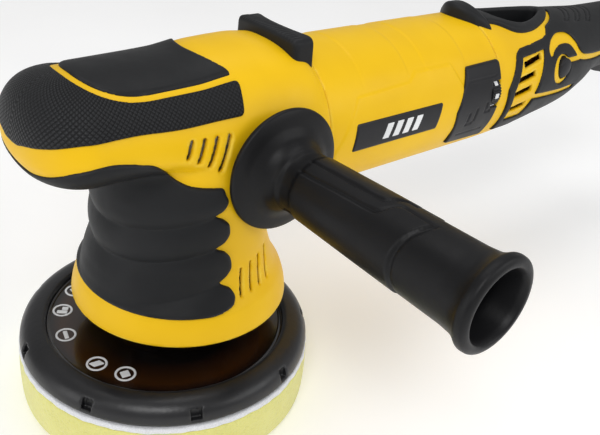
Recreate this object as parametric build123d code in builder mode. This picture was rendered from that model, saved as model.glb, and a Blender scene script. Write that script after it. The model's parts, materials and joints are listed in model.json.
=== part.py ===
from build123d import *
from math import atan2, cos, hypot, sin
import os

# Dual action polisher, millimetres. +Z is up along the spindle, +X runs from the spindle towards the
# motor and the rear handle, and the side handle leaves along -Y. The origin is the point where the
# spindle axis meets the working face of the pad.

os.makedirs("parts", exist_ok=True)

# ---------------------------------------------------------------- driving dimensions
THROW = 7.5                    # offset of the pad axis from the spindle axis: a 15 mm orbit
PAD_AXIS_X = -THROW
PAD_RADIUS = 76.0
FOAM_HEIGHT = 26.0
LOOP_HEIGHT = 3.0
HOOK_HEIGHT = 1.0
PLATE_BOTTOM = FOAM_HEIGHT + LOOP_HEIGHT + HOOK_HEIGHT
PLATE_RADIUS = 75.0
RIM_INNER_RADIUS = 62.0
RIM_TOP = PLATE_BOTTOM + 11.0
DISC_BOTTOM = PLATE_BOTTOM + 1.0
DISC_TOP = PLATE_BOTTOM + 8.0

MOTOR_AXIS_Z = 138.0
BARREL_RADIUS = 40.0
WALL = 3.0
BARREL_INNER_RADIUS = BARREL_RADIUS - WALL
SKIN = 1.2                     # thickness of the moulded-on rubber
FIT = 0.03                     # radial clearance of a running fit
GAP = 0.3                      # clearance between bodies that only pass each other

HEAD_TIP_X = -81.0
HEAD_END_X = 58.0
NOSE_LOW_Z = 147.0             # the rubber under the nose reaches up to here
MOTOR_START_X = HEAD_END_X + 0.2
MOTOR_END_X = 193.0
REAR_START_X = MOTOR_END_X + 0.2
REAR_END_X = 425.0
GRIP_START_X = 298.0

SKIRT_BOTTOM = 56.3
SKIRT_TOP = 110.0
NECK_RADIUS = 43.0
NECK_TOP = 155.0

GEAR_MODULE = 1.5
PINION_TEETH = 10
GEAR_TEETH = 40
PINION_PITCH_RADIUS = GEAR_MODULE * PINION_TEETH / 2
GEAR_PITCH_RADIUS = GEAR_MODULE * GEAR_TEETH / 2
GEAR_PITCH_Z = MOTOR_AXIS_Z - PINION_PITCH_RADIUS
TOOTH_INNER_SCALE = 0.75       # inner end of the teeth as a fraction of the cone distance

SPINDLE_RADIUS = 8.5
SPINDLE_NOSE_RADIUS = 7.5
PAD_SHAFT_RADIUS = 6.0
SHAFT_RADIUS = 6.0
REAR_SHAFT_RADIUS = 4.0

SIDE_AXIS_X = 25.5
SIDE_AXIS_Z = 135.5
BOSS_FACE_Y = 42.7
STUD_RADIUS = 3.95
BOSS_BORE_RADIUS = 4.0
HANDLE_END_Y = -168.0

DIAL_RADIUS = 10.0
DIAL_Y = -32.2
DIAL_Z = 142.0
DIAL_X = 184.0
DIAL_WIDTH = 7.5

LOCK_X = 269.0
LOCK_Z = 144.5
TRIGGER_PIVOT_X = 352.0
TRIGGER_PIVOT_Z = 131.0
INLET_RADIUS = 4.2


def motor_plane(x):
    """Section plane across the motor axis at x: local x is +Y and local y is +Z."""
    return Plane(origin=(x, 0, MOTOR_AXIS_Z), x_dir=(0, 1, 0), z_dir=(1, 0, 0))


def side_plane(y):
    """Section plane across the side-handle axis at y, looking along -Y."""
    return Plane(origin=(SIDE_AXIS_X, y, SIDE_AXIS_Z), x_dir=(1, 0, 0), z_dir=(0, -1, 0))


def pad_plane(z):
    """Horizontal plane centred on the pad's own axis."""
    return Plane(origin=(PAD_AXIS_X, 0, z), x_dir=(1, 0, 0), z_dir=(0, 0, 1))


# ---------------------------------------------------------------- shared solids
def ring(plane, outer, inner, height):
    """A plain ring standing on a plane."""
    with BuildPart() as made:
        with BuildSketch(plane):
            Circle(outer)
            Circle(inner, mode=Mode.SUBTRACT)
        extrude(amount=height)
    return made.part


def disc(plane, radius, height):
    """A plain disc standing on a plane."""
    with BuildPart() as made:
        with BuildSketch(plane):
            Circle(radius)
        extrude(amount=height)
    return made.part


def block(x0, x1, y0, y1, z0, z1):
    """A block given by its two corners."""
    with BuildPart() as made:
        with BuildSketch(Plane.XY.offset(z0)):
            with Locations(((x0 + x1) / 2, (y0 + y1) / 2)):
                Rectangle(x1 - x0, y1 - y0)
        extrude(amount=z1 - z0)
    return made.part


def oval_section(x, centre_z, half_width, half_height):
    """One elliptical section across the X axis."""
    plane = Plane(origin=(x, 0, centre_z), x_dir=(0, 1, 0), z_dir=(1, 0, 0))
    with BuildSketch(plane) as made:
        Ellipse(half_width, half_height)
    return made.sketch


def oval_loft(rows, inset, low_x, high_x):
    """A solid through elliptical sections, moved in by inset and kept between low_x and high_x."""
    sections = []
    for x, centre_z, half_width, half_height in rows:
        place = min(max(x, low_x), high_x)
        sections.append(oval_section(place, centre_z, half_width - inset, half_height - inset))
    return loft(sections, ruled=True)


# x, centre height, half width and half height of the hood over the gear head
HOOD_SECTIONS = (
    (HEAD_TIP_X, 155.0, 8.0, 5.5),
    (-79.8, 155.5, 16.0, 10.0),
    (-76.0, 157.0, 26.0, 15.5),
    (-69.0, 158.0, 33.6, 19.8),
    (-57.0, 158.5, 36.5, 21.5),
    (-30.0, 158.8, 38.0, 21.8),
    (-15.0, 156.6, 39.0, 24.6),
    (0.0, 150.5, 40.0, 32.5),
    (12.0, 145.2, 41.0, 39.6),
    (26.0, 141.8, 41.5, 43.2),
    (42.0, 139.6, 41.2, 41.6),
    (HEAD_END_X, MOTOR_AXIS_Z, BARREL_RADIUS, BARREL_RADIUS),
)


def hood_loft(inset):
    """The hood over the gear head, moved in by inset."""
    return oval_loft(HOOD_SECTIONS, inset, HEAD_TIP_X + inset * 0.6, HEAD_END_X)


def neck_profile(inset):
    """The neck and skirt below the hood, turned about the spindle and moved in by inset."""
    with BuildPart() as made:
        with BuildSketch(Plane.XZ):
            with BuildLine():
                Polyline(
                    (0, SKIRT_BOTTOM),
                    (55.1 - inset, SKIRT_BOTTOM),
                    (54.6 - inset, 61),
                    (52.2 - inset, 69),
                    (48.0 - inset, 76),
                    (45.2 - inset, 83),
                    (NECK_RADIUS - inset, 92),
                    (NECK_RADIUS - inset, NECK_TOP),
                    (0, NECK_TOP),
                    close=True,
                )
            make_face()
        revolve(axis=Axis.Z)
    return made.part


# x, centre height, half width and half height of the rear housing and handle
REAR_SECTIONS = (
    (REAR_START_X, 138.0, 40.0, 40.0),
    (225.0, 136.4, 39.4, 38.4),
    (262.0, 135.8, 36.0, 36.4),
    (290.0, 136.6, 32.0, 34.4),
    (315.0, 139.4, 27.0, 30.0),
    (338.0, 144.8, 23.0, 23.4),
    (370.0, 146.0, 21.5, 22.0),
    (405.0, 146.0, 21.5, 22.0),
    (REAR_END_X, 146.0, 19.5, 20.0),
)


def rear_loft(inset, end_inset):
    """The rear housing as one solid, moved in by inset and shortened at its far end."""
    return oval_loft(REAR_SECTIONS, inset, REAR_START_X, REAR_END_X - end_inset)


def rear_half_width(x):
    """Half width of the rear housing between its listed sections."""
    for low, high in zip(REAR_SECTIONS, REAR_SECTIONS[1:]):
        if low[0] <= x <= high[0]:
            share = (x - low[0]) / (high[0] - low[0])
            return low[2] + share * (high[2] - low[2])
    return REAR_SECTIONS[-1][2]


def bearing(plane, bore_radius, outer_radius, width):
    """A shielded ball bearing drawn as one ring with a shallow step on both faces."""
    step = 0.6
    band = (outer_radius - bore_radius) / 4
    with BuildPart() as made:
        with BuildSketch(plane):
            Circle(outer_radius)
            Circle(bore_radius, mode=Mode.SUBTRACT)
        extrude(amount=width)
        for start in (0.0, width - step):
            with BuildSketch(plane.offset(start)):
                Circle(outer_radius - band)
                Circle(bore_radius + band, mode=Mode.SUBTRACT)
            extrude(amount=step, mode=Mode.SUBTRACT)
    return made.part


def socket_screw(plane, shank_radius, length):
    """A cap screw: its head stands on the plane and its shank goes down from it."""
    with BuildPart() as made:
        with BuildSketch(plane):
            Circle(shank_radius * 1.75)
        extrude(amount=shank_radius * 1.6)
        with BuildSketch(plane.offset(shank_radius * 0.6)):
            RegularPolygon(shank_radius * 0.85, 6)
        extrude(amount=shank_radius, mode=Mode.SUBTRACT)
        with BuildSketch(plane):
            Circle(shank_radius)
        extrude(amount=-length)
    return made.part


def coil_spring(plane, radius, wire, length, turns):
    """A compression spring standing on a plane, drawn as stacked rings joined by a thin tube."""
    with BuildPart() as made:
        with BuildSketch(plane):
            Circle(radius)
            Circle(radius - wire, mode=Mode.SUBTRACT)
        extrude(amount=length)
        pitch = length / turns
        for turn in range(turns):
            with BuildSketch(plane.offset(pitch * (turn + 0.3))):
                Circle(radius + 1)
                Circle(radius - wire * 0.45, mode=Mode.SUBTRACT)
            extrude(amount=pitch * 0.4, mode=Mode.SUBTRACT)
    return made.part


# ---------------------------------------------------------------- pad and backing plate
with BuildPart() as foam_pad:
    with BuildSketch(pad_plane(0)):
        Circle(PAD_RADIUS)
    extrude(amount=FOAM_HEIGHT)
    fillet(foam_pad.edges().group_by(Axis.Z)[0], 3)
foam_pad.part.label = "foam_pad"
export_step(foam_pad.part, "parts/foam_pad.step")

with BuildPart() as loop_backing:
    with BuildSketch(pad_plane(FOAM_HEIGHT)):
        Circle(PAD_RADIUS)
    extrude(amount=LOOP_HEIGHT)
loop_backing.part.label = "loop_backing"
export_step(loop_backing.part, "parts/loop_backing.step")

with BuildPart() as hook_sheet:
    with BuildSketch(pad_plane(PLATE_BOTTOM - HOOK_HEIGHT)):
        Circle(PLATE_RADIUS - 1.5)
    extrude(amount=HOOK_HEIGHT)
hook_sheet.part.label = "hook_sheet"
export_step(hook_sheet.part, "parts/hook_sheet.step")

NOTCH_COUNT = 9
NOTCH_START = 8.75
with BuildPart() as plate_rim:
    with BuildSketch(pad_plane(PLATE_BOTTOM)):
        Circle(PLATE_RADIUS)
        Circle(RIM_INNER_RADIUS, mode=Mode.SUBTRACT)
    extrude(amount=RIM_TOP - PLATE_BOTTOM)
    fillet(plate_rim.edges().group_by(Axis.Z)[-1], 5)
    with BuildSketch(pad_plane(PLATE_BOTTOM + 2.5)):
        with PolarLocations(PLATE_RADIUS, NOTCH_COUNT, start_angle=NOTCH_START):
            Rectangle(5, 8)
    extrude(amount=RIM_TOP, mode=Mode.SUBTRACT)
plate_rim.part.label = "plate_rim"
export_step(plate_rim.part, "parts/plate_rim.step")

PLATE_BOLT_RADIUS = 4.0
with BuildPart() as plate_disc:
    with BuildSketch(pad_plane(DISC_BOTTOM)):
        Circle(RIM_INNER_RADIUS)
    extrude(amount=DISC_TOP - DISC_BOTTOM)
    with BuildSketch(pad_plane(DISC_BOTTOM)):
        Circle(PLATE_BOLT_RADIUS + 0.2)
    extrude(amount=DISC_TOP - DISC_BOTTOM, mode=Mode.SUBTRACT)
    with BuildSketch(pad_plane(DISC_BOTTOM)):
        Circle(9)
    extrude(amount=4.5, mode=Mode.SUBTRACT)
    with BuildSketch(pad_plane(DISC_TOP - 1)):
        Circle(54)
        Circle(26, mode=Mode.SUBTRACT)
    extrude(amount=1, mode=Mode.SUBTRACT)
plate_disc.part.label = "plate_disc"
export_step(plate_disc.part, "parts/plate_disc.step")

PAD_FLANGE_TOP = DISC_TOP + 7.0
PAD_SHAFT_TOP = 73.0
with BuildPart() as pad_spindle:
    with BuildSketch(pad_plane(DISC_TOP)):
        Circle(22)
    extrude(amount=4)
    with BuildSketch(pad_plane(DISC_TOP + 4)):
        RegularPolygon(12, 6)
    extrude(amount=PAD_FLANGE_TOP - DISC_TOP - 4)
    with BuildSketch(pad_plane(PAD_FLANGE_TOP)):
        Circle(8)
    extrude(amount=52 - PAD_FLANGE_TOP)
    with BuildSketch(pad_plane(52)):
        Circle(PAD_SHAFT_RADIUS)
    extrude(amount=PAD_SHAFT_TOP - 52)
    with BuildSketch(pad_plane(DISC_TOP)):
        Circle(PLATE_BOLT_RADIUS + FIT)
    extrude(amount=18, mode=Mode.SUBTRACT)
pad_spindle.part.label = "pad_spindle"
export_step(pad_spindle.part, "parts/pad_spindle.step")

with BuildPart() as plate_bolt:
    with BuildSketch(pad_plane(DISC_BOTTOM + 4.3)):
        Circle(8.2)
    extrude(amount=-1.0)
    with BuildSketch(pad_plane(DISC_BOTTOM + 3.3)):
        RegularPolygon(7, 6)
    extrude(amount=-2.8)
    with BuildSketch(pad_plane(DISC_BOTTOM + 4.3)):
        Circle(PLATE_BOLT_RADIUS)
    extrude(amount=18)
plate_bolt.part.label = "plate_bolt"
export_step(plate_bolt.part, "parts/plate_bolt.step")

# ---------------------------------------------------------------- eccentric carrier and spindle
CARRIER_BOTTOM = 50.0
CARRIER_TOP = 76.5
PAD_BEARING_RADIUS = 14.0
PAD_BEARING_WIDTH = 8.0
LOWER_PAD_BEARING_Z = 52.5
UPPER_PAD_BEARING_Z = 65.0
WEIGHT_RADIUS = 44.0
with BuildPart() as eccentric_carrier:
    with BuildSketch(Plane.XY.offset(CARRIER_BOTTOM)):
        Circle(26)
    extrude(amount=CARRIER_TOP - CARRIER_BOTTOM)
    with BuildSketch(Plane.XY.offset(CARRIER_TOP)):
        Circle(14)
    extrude(amount=8)
    with BuildSketch(pad_plane(CARRIER_BOTTOM)):
        Circle(PAD_BEARING_RADIUS + 0.02)
    extrude(amount=CARRIER_TOP - CARRIER_BOTTOM - 2.5, mode=Mode.SUBTRACT)
    with BuildSketch(Plane.XY.offset(CARRIER_TOP - 2.5)):
        Circle(SPINDLE_RADIUS + 0.02)
    extrude(amount=12, mode=Mode.SUBTRACT)
eccentric_carrier.part.label = "eccentric_carrier"
export_step(eccentric_carrier.part, "parts/eccentric_carrier.step")

WEIGHT_BOLT_X = 35.0
with BuildPart() as counterweight:
    with BuildSketch(Plane.XY.offset(CARRIER_BOTTOM + 2)):
        Circle(WEIGHT_RADIUS)
        Circle(26.02, mode=Mode.SUBTRACT)
        with Locations((-WEIGHT_RADIUS / 2 + 6, 0)):
            Rectangle(WEIGHT_RADIUS + 12, 3 * WEIGHT_RADIUS, mode=Mode.SUBTRACT)
    extrude(amount=16)
    with BuildSketch(Plane.XY.offset(CARRIER_BOTTOM + 2)):
        with PolarLocations(WEIGHT_BOLT_X, 3, start_angle=-35, angular_range=70, endpoint=True):
            Circle(2.6)
    extrude(amount=16, mode=Mode.SUBTRACT)
counterweight.part.label = "counterweight"
export_step(counterweight.part, "parts/counterweight.step")

with BuildPart() as counterweight_pins:
    with BuildSketch(Plane.XY.offset(CARRIER_BOTTOM + 1.5)):
        with PolarLocations(WEIGHT_BOLT_X, 3, start_angle=-35, angular_range=70, endpoint=True):
            Circle(2.55)
    extrude(amount=17)
counterweight_pins.part.label = "counterweight_pins"
export_step(counterweight_pins.part, "parts/counterweight_pins.step")

with BuildPart() as pad_bearings:
    for bearing_z in (LOWER_PAD_BEARING_Z, UPPER_PAD_BEARING_Z):
        add(bearing(pad_plane(bearing_z), PAD_SHAFT_RADIUS + FIT, PAD_BEARING_RADIUS, PAD_BEARING_WIDTH))
pad_bearings.part.label = "pad_bearings"
export_step(pad_bearings.part, "parts/pad_bearings.step")

with BuildPart() as pad_bearing_circlip:
    with BuildSketch(pad_plane(CARRIER_BOTTOM + 0.6)):
        Circle(PAD_BEARING_RADIUS)
        Circle(PAD_BEARING_RADIUS - 2.5, mode=Mode.SUBTRACT)
        with Locations((PAD_BEARING_RADIUS, 0)):
            Rectangle(8, 5, mode=Mode.SUBTRACT)
    extrude(amount=1.5)
pad_bearing_circlip.part.label = "pad_bearing_circlip"
export_step(pad_bearing_circlip.part, "parts/pad_bearing_circlip.step")

SPINDLE_STEP_Z = 100.0
SPINDLE_TOP = 134.0
GEAR_BACK_Z = 117.0
NUT_BOTTOM = 129.4
with BuildPart() as drive_spindle:
    with BuildSketch(Plane.XY.offset(CARRIER_TOP - 2.0)):
        Circle(SPINDLE_RADIUS)
    extrude(amount=SPINDLE_STEP_Z - CARRIER_TOP + 2.0)
    with BuildSketch(Plane.XY.offset(SPINDLE_STEP_Z)):
        Circle(SPINDLE_NOSE_RADIUS)
    extrude(amount=SPINDLE_TOP - SPINDLE_STEP_Z)
    chamfer(drive_spindle.edges().group_by(Axis.Z)[-1], 1)
drive_spindle.part.label = "drive_spindle"
export_step(drive_spindle.part, "parts/drive_spindle.step")

# ---------------------------------------------------------------- bevel gear pair
# The teeth are wedges that shrink towards the point where the two axes cross.
CONE_DISTANCE = hypot(GEAR_PITCH_RADIUS, PINION_PITCH_RADIUS)
CONE_ANGLE = atan2(PINION_PITCH_RADIUS, GEAR_PITCH_RADIUS)
ADDENDUM = 1.25
DEDENDUM = 1.6
TOOTH_SINK = 0.4
TOOTH_HALF_BASE = 1.15
TOOTH_HALF_TIP = 0.4


def cone_point(scale, height):
    """Radius and height of a point on the shared pitch line, moved off it by height."""
    along = CONE_DISTANCE * scale
    radius = along * cos(CONE_ANGLE) + height * scale * sin(CONE_ANGLE)
    level = -along * sin(CONE_ANGLE) + height * scale * cos(CONE_ANGLE)
    return radius, level


def tooth_section(scale, outward):
    """Section of one tooth across the shared pitch line, before it is turned to its place."""
    reach = CONE_DISTANCE * scale
    plane = Plane(
        origin=(reach * cos(CONE_ANGLE), 0, MOTOR_AXIS_Z - reach * sin(CONE_ANGLE)),
        x_dir=(0, 1, 0),
        z_dir=(cos(CONE_ANGLE), 0, -sin(CONE_ANGLE)),
    )
    side = outward * scale
    foot = -(DEDENDUM + TOOTH_SINK) * side
    tip = ADDENDUM * side
    with BuildSketch(plane) as made:
        with BuildLine():
            Polyline(
                (-TOOTH_HALF_BASE * scale, foot),
                (-TOOTH_HALF_TIP * scale, tip),
                (TOOTH_HALF_TIP * scale, tip),
                (TOOTH_HALF_BASE * scale, foot),
                close=True,
            )
        make_face()
    return made.sketch


def bevel_tooth(outward):
    """One tooth of the crown gear (outward = 1) or of the pinion (outward = -1)."""
    return loft([tooth_section(1.0, outward), tooth_section(TOOTH_INNER_SCALE, outward)])


SPINDLE_AXIS = Axis((0, 0, MOTOR_AXIS_Z), (0, 0, 1))
MOTOR_AXIS = Axis((0, 0, MOTOR_AXIS_Z), (1, 0, 0))
GEAR_HUB_RADIUS = 13.0

outer_root = cone_point(1.0, -DEDENDUM)
inner_root = cone_point(TOOTH_INNER_SCALE, -DEDENDUM)
crown_tooth = bevel_tooth(1)
with BuildPart() as bevel_gear:
    with BuildSketch(Plane.XZ):
        with BuildLine():
            Polyline(
                (SPINDLE_NOSE_RADIUS + 0.02, GEAR_BACK_Z),
                (GEAR_HUB_RADIUS, GEAR_BACK_Z),
                (GEAR_HUB_RADIUS, GEAR_BACK_Z + 2),
                (outer_root[0] - 3, GEAR_BACK_Z + 4),
                (outer_root[0], MOTOR_AXIS_Z + outer_root[1]),
                (inner_root[0], MOTOR_AXIS_Z + inner_root[1]),
                (inner_root[0] - 4, NUT_BOTTOM - 0.4),
                (SPINDLE_NOSE_RADIUS + 0.02, NUT_BOTTOM - 0.4),
                close=True,
            )
        make_face()
    revolve(axis=Axis.Z)
    for tooth in range(GEAR_TEETH):
        add(crown_tooth.rotate(SPINDLE_AXIS, (tooth + 0.5) * 360 / GEAR_TEETH))
bevel_gear.part.label = "bevel_gear"
export_step(bevel_gear.part, "parts/bevel_gear.step")

with BuildPart() as gear_nut:
    with BuildSketch(Plane.XY.offset(NUT_BOTTOM)):
        RegularPolygon(11, 6)
        Circle(SPINDLE_NOSE_RADIUS + 0.02, mode=Mode.SUBTRACT)
    extrude(amount=3.8)
gear_nut.part.label = "gear_nut"
export_step(gear_nut.part, "parts/gear_nut.step")

# The pinion's root is as far from the motor axis as the mirrored pitch line leaves it.
PINION_HUB_END_X = 37.0
PINION_BORE = 3.5
pinion_outer = (CONE_DISTANCE * cos(CONE_ANGLE) - DEDENDUM * sin(CONE_ANGLE),
                CONE_DISTANCE * sin(CONE_ANGLE) - DEDENDUM * cos(CONE_ANGLE))
pinion_inner = (pinion_outer[0] * TOOTH_INNER_SCALE, pinion_outer[1] * TOOTH_INNER_SCALE)
pinion_tooth = bevel_tooth(-1)
with BuildPart() as bevel_pinion:
    with BuildSketch(Plane.XZ):
        with BuildLine():
            Polyline(
                (pinion_inner[0], MOTOR_AXIS_Z + PINION_BORE + 0.02),
                (pinion_inner[0], MOTOR_AXIS_Z + pinion_inner[1]),
                (pinion_outer[0], MOTOR_AXIS_Z + pinion_outer[1]),
                (pinion_outer[0] + 1.5, MOTOR_AXIS_Z + pinion_outer[1] + 0.8),
                (PINION_HUB_END_X, MOTOR_AXIS_Z + 6.8),
                (PINION_HUB_END_X, MOTOR_AXIS_Z + PINION_BORE + 0.02),
                close=True,
            )
        make_face()
    revolve(axis=MOTOR_AXIS)
    for tooth in range(PINION_TEETH):
        add(pinion_tooth.rotate(MOTOR_AXIS, tooth * 360 / PINION_TEETH))
bevel_pinion.part.label = "bevel_pinion"
export_step(bevel_pinion.part, "parts/bevel_pinion.step")

# ---------------------------------------------------------------- gear case and its bearings
LOWER_BEARING_Z = 86.0
LOWER_BEARING_WIDTH = 10.0
UPPER_BEARING_Z = 104.0
UPPER_BEARING_WIDTH = 11.0
SPINDLE_BEARING_RADIUS = 17.5
CASE_INNER_RADIUS = 32.5
CASE_OUTER_RADIUS = 36.0
CASE_FLOOR_Z = 115.0
CASE_TOP_Z = 156.0
CASE_FLANGE_X = 37.0
CASE_SCREW_OFFSET = 20.5
with BuildPart() as gear_case:
    with BuildSketch(Plane.XY.offset(LOWER_BEARING_Z - 0.5)):
        Circle(22)
    extrude(amount=CASE_FLOOR_Z - LOWER_BEARING_Z)
    with BuildSketch(Plane.XY.offset(CASE_FLOOR_Z - 4)):
        Circle(CASE_OUTER_RADIUS)
    extrude(amount=CASE_TOP_Z - CASE_FLOOR_Z + 4)
    with BuildSketch(motor_plane(10)):
        Circle(26)
    extrude(amount=CASE_FLANGE_X - 10)
    with BuildSketch(motor_plane(CASE_FLANGE_X - 5)):
        Circle(34)
    extrude(amount=5)
    with BuildSketch(side_plane(BOSS_FACE_Y)):
        Circle(9)
    extrude(amount=2 * BOSS_FACE_Y)
    with BuildSketch(Plane.XY.offset(CASE_FLOOR_Z)):
        Circle(CASE_INNER_RADIUS)
    extrude(amount=CASE_TOP_Z - CASE_FLOOR_Z - 3.5, mode=Mode.SUBTRACT)
    with BuildSketch(motor_plane(18)):
        Circle(19)
    extrude(amount=CASE_FLANGE_X - 18, mode=Mode.SUBTRACT)
    with BuildSketch(Plane.XY.offset(LOWER_BEARING_Z - 1)):
        Circle(SPINDLE_BEARING_RADIUS + 0.02)
    extrude(amount=LOWER_BEARING_WIDTH + 1, mode=Mode.SUBTRACT)
    with BuildSketch(Plane.XY.offset(UPPER_BEARING_Z)):
        Circle(SPINDLE_BEARING_RADIUS + 0.02)
    extrude(amount=UPPER_BEARING_WIDTH, mode=Mode.SUBTRACT)
    with BuildSketch(Plane.XY.offset(LOWER_BEARING_Z)):
        Circle(SPINDLE_RADIUS + 1.5)
    extrude(amount=UPPER_BEARING_Z - LOWER_BEARING_Z, mode=Mode.SUBTRACT)
    for side in (1, -1):
        with BuildSketch(side_plane(side * BOSS_FACE_Y)):
            Circle(BOSS_BORE_RADIUS)
        extrude(amount=side * 12, mode=Mode.SUBTRACT)
    with BuildSketch(motor_plane(CASE_FLANGE_X)):
        with GridLocations(2 * CASE_SCREW_OFFSET, 2 * CASE_SCREW_OFFSET, 2, 2):
            Circle(2.05)
    extrude(amount=-12, mode=Mode.SUBTRACT)
gear_case.part.label = "gear_case"
export_step(gear_case.part, "parts/gear_case.step")

with BuildPart() as spindle_bearings:
    add(bearing(Plane.XY.offset(LOWER_BEARING_Z), SPINDLE_RADIUS + FIT, SPINDLE_BEARING_RADIUS,
                LOWER_BEARING_WIDTH))
    add(bearing(Plane.XY.offset(UPPER_BEARING_Z), SPINDLE_NOSE_RADIUS + FIT, SPINDLE_BEARING_RADIUS,
                UPPER_BEARING_WIDTH))
spindle_bearings.part.label = "spindle_bearings"
export_step(spindle_bearings.part, "parts/spindle_bearings.step")

COVER_END_X = 48.5
FRONT_BEARING_X = 38.4
FRONT_BEARING_WIDTH = 8.0
FRONT_BEARING_RADIUS = 14.0
with BuildPart() as bearing_plate:
    with BuildSketch(motor_plane(CASE_FLANGE_X + 0.2)):
        Circle(34)
    extrude(amount=4)
    with BuildSketch(motor_plane(CASE_FLANGE_X + 4.2)):
        Circle(18)
    extrude(amount=COVER_END_X - CASE_FLANGE_X - 4.2)
    with BuildSketch(motor_plane(CASE_FLANGE_X)):
        Circle(FRONT_BEARING_RADIUS + 0.02)
    extrude(amount=FRONT_BEARING_X + FRONT_BEARING_WIDTH - CASE_FLANGE_X, mode=Mode.SUBTRACT)
    with BuildSketch(motor_plane(CASE_FLANGE_X)):
        Circle(SHAFT_RADIUS + 1.5)
    extrude(amount=20, mode=Mode.SUBTRACT)
    with BuildSketch(motor_plane(CASE_FLANGE_X)):
        with GridLocations(2 * CASE_SCREW_OFFSET, 2 * CASE_SCREW_OFFSET, 2, 2):
            Circle(2.2)
    extrude(amount=20, mode=Mode.SUBTRACT)
bearing_plate.part.label = "bearing_plate"
export_step(bearing_plate.part, "parts/bearing_plate.step")

with BuildPart() as gear_case_screws:
    screw_plane = motor_plane(CASE_FLANGE_X + 4.3)
    for side_y in (-CASE_SCREW_OFFSET, CASE_SCREW_OFFSET):
        for side_z in (-CASE_SCREW_OFFSET, CASE_SCREW_OFFSET):
            add(socket_screw(screw_plane.shift_origin(
                (CASE_FLANGE_X + 4.3, side_y, MOTOR_AXIS_Z + side_z)), 2.0, 14))
gear_case_screws.part.label = "gear_case_screws"
export_step(gear_case_screws.part, "parts/gear_case_screws.step")

with BuildPart() as bearing_retainer:
    with BuildSketch(Plane.XY.offset(LOWER_BEARING_Z - 2.7)):
        Circle(34)
        Circle(15, mode=Mode.SUBTRACT)
        with PolarLocations(19.8, 4, start_angle=45):
            Circle(1.2, mode=Mode.SUBTRACT)
    extrude(amount=2)
bearing_retainer.part.label = "bearing_retainer"
export_step(bearing_retainer.part, "parts/bearing_retainer.step")

# ---------------------------------------------------------------- armature
FAN_X = 52.0
CORE_START_X = 82.0
CORE_END_X = 132.0
COMMUTATOR_START_X = 144.0
COMMUTATOR_END_X = 161.0
REAR_BEARING_X = 166.0
REAR_BEARING_WIDTH = 7.0
REAR_BEARING_RADIUS = 11.0
ARMATURE_RADIUS = 18.4
with BuildPart() as armature_shaft:
    with BuildSketch(motor_plane(pinion_inner[0] - 2)):
        Circle(PINION_BORE)
    extrude(amount=PINION_HUB_END_X - pinion_inner[0] + 2)
    with BuildSketch(motor_plane(PINION_HUB_END_X)):
        Circle(SHAFT_RADIUS)
    extrude(amount=COMMUTATOR_END_X + 2 - PINION_HUB_END_X)
    with BuildSketch(motor_plane(COMMUTATOR_END_X + 2)):
        Circle(REAR_SHAFT_RADIUS)
    extrude(amount=REAR_BEARING_X + REAR_BEARING_WIDTH - COMMUTATOR_END_X - 2.5)
armature_shaft.part.label = "armature_shaft"
export_step(armature_shaft.part, "parts/armature_shaft.step")

with BuildPart() as armature_core:
    with BuildSketch(motor_plane(CORE_START_X)):
        Circle(ARMATURE_RADIUS)
        Circle(SHAFT_RADIUS + 0.02, mode=Mode.SUBTRACT)
        with PolarLocations(ARMATURE_RADIUS, 12):
            Rectangle(5, 1.6, mode=Mode.SUBTRACT)
    extrude(amount=CORE_END_X - CORE_START_X)
armature_core.part.label = "armature_core"
export_step(armature_core.part, "parts/armature_core.step")

with BuildPart() as armature_windings:
    for start_x, length in ((CORE_START_X - 9, 8.8), (CORE_END_X + 0.2, 10)):
        add(ring(motor_plane(start_x), 16.5, SHAFT_RADIUS + 1, length))
    chamfer(armature_windings.edges().filter_by(GeomType.CIRCLE).filter_by(lambda e: e.radius > 16), 2.5)
armature_windings.part.label = "armature_windings"
export_step(armature_windings.part, "parts/armature_windings.step")

COMMUTATOR_RADIUS = 13.0
with BuildPart() as commutator:
    with BuildSketch(motor_plane(COMMUTATOR_START_X)):
        Circle(COMMUTATOR_RADIUS)
        Circle(SHAFT_RADIUS + 0.02, mode=Mode.SUBTRACT)
        with PolarLocations(COMMUTATOR_RADIUS, 24):
            Rectangle(2, 0.5, mode=Mode.SUBTRACT)
    extrude(amount=COMMUTATOR_END_X - COMMUTATOR_START_X)
commutator.part.label = "commutator"
export_step(commutator.part, "parts/commutator.step")

FAN_RADIUS = 33.0
FAN_BLADES = 11
with BuildPart() as cooling_fan:
    with BuildSketch(motor_plane(FAN_X)):
        Circle(FAN_RADIUS)
        Circle(SHAFT_RADIUS + 0.02, mode=Mode.SUBTRACT)
    extrude(amount=2)
    with BuildSketch(motor_plane(FAN_X + 2)):
        Circle(11)
        Circle(SHAFT_RADIUS + 0.02, mode=Mode.SUBTRACT)
    extrude(amount=9)
    with BuildSketch(motor_plane(FAN_X + 2)):
        with PolarLocations(21.5, FAN_BLADES):
            Rectangle(22, 1.8, rotation=18)
    extrude(amount=9)
cooling_fan.part.label = "cooling_fan"
export_step(cooling_fan.part, "parts/cooling_fan.step")

# ---------------------------------------------------------------- stator, brushes and rear bearing bridge
STATOR_RADIUS = 36.6
with BuildPart() as air_baffle:
    with BuildSketch(motor_plane(66)):
        Circle(STATOR_RADIUS)
        Circle(24, mode=Mode.SUBTRACT)
    extrude(amount=2.5)
air_baffle.part.label = "air_baffle"
export_step(air_baffle.part, "parts/air_baffle.step")

with BuildPart() as stator_core:
    with BuildSketch(motor_plane(CORE_START_X)):
        Circle(STATOR_RADIUS)
        Circle(ARMATURE_RADIUS + 0.8, mode=Mode.SUBTRACT)
        with Locations((0, 24), (0, -24)):
            SlotOverall(30, 8, mode=Mode.SUBTRACT)
        with Locations((STATOR_RADIUS, 0), (-STATOR_RADIUS, 0)):
            Rectangle(6, 12, mode=Mode.SUBTRACT)
    extrude(amount=CORE_END_X - CORE_START_X)
stator_core.part.label = "stator_core"
export_step(stator_core.part, "parts/stator_core.step")

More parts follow.
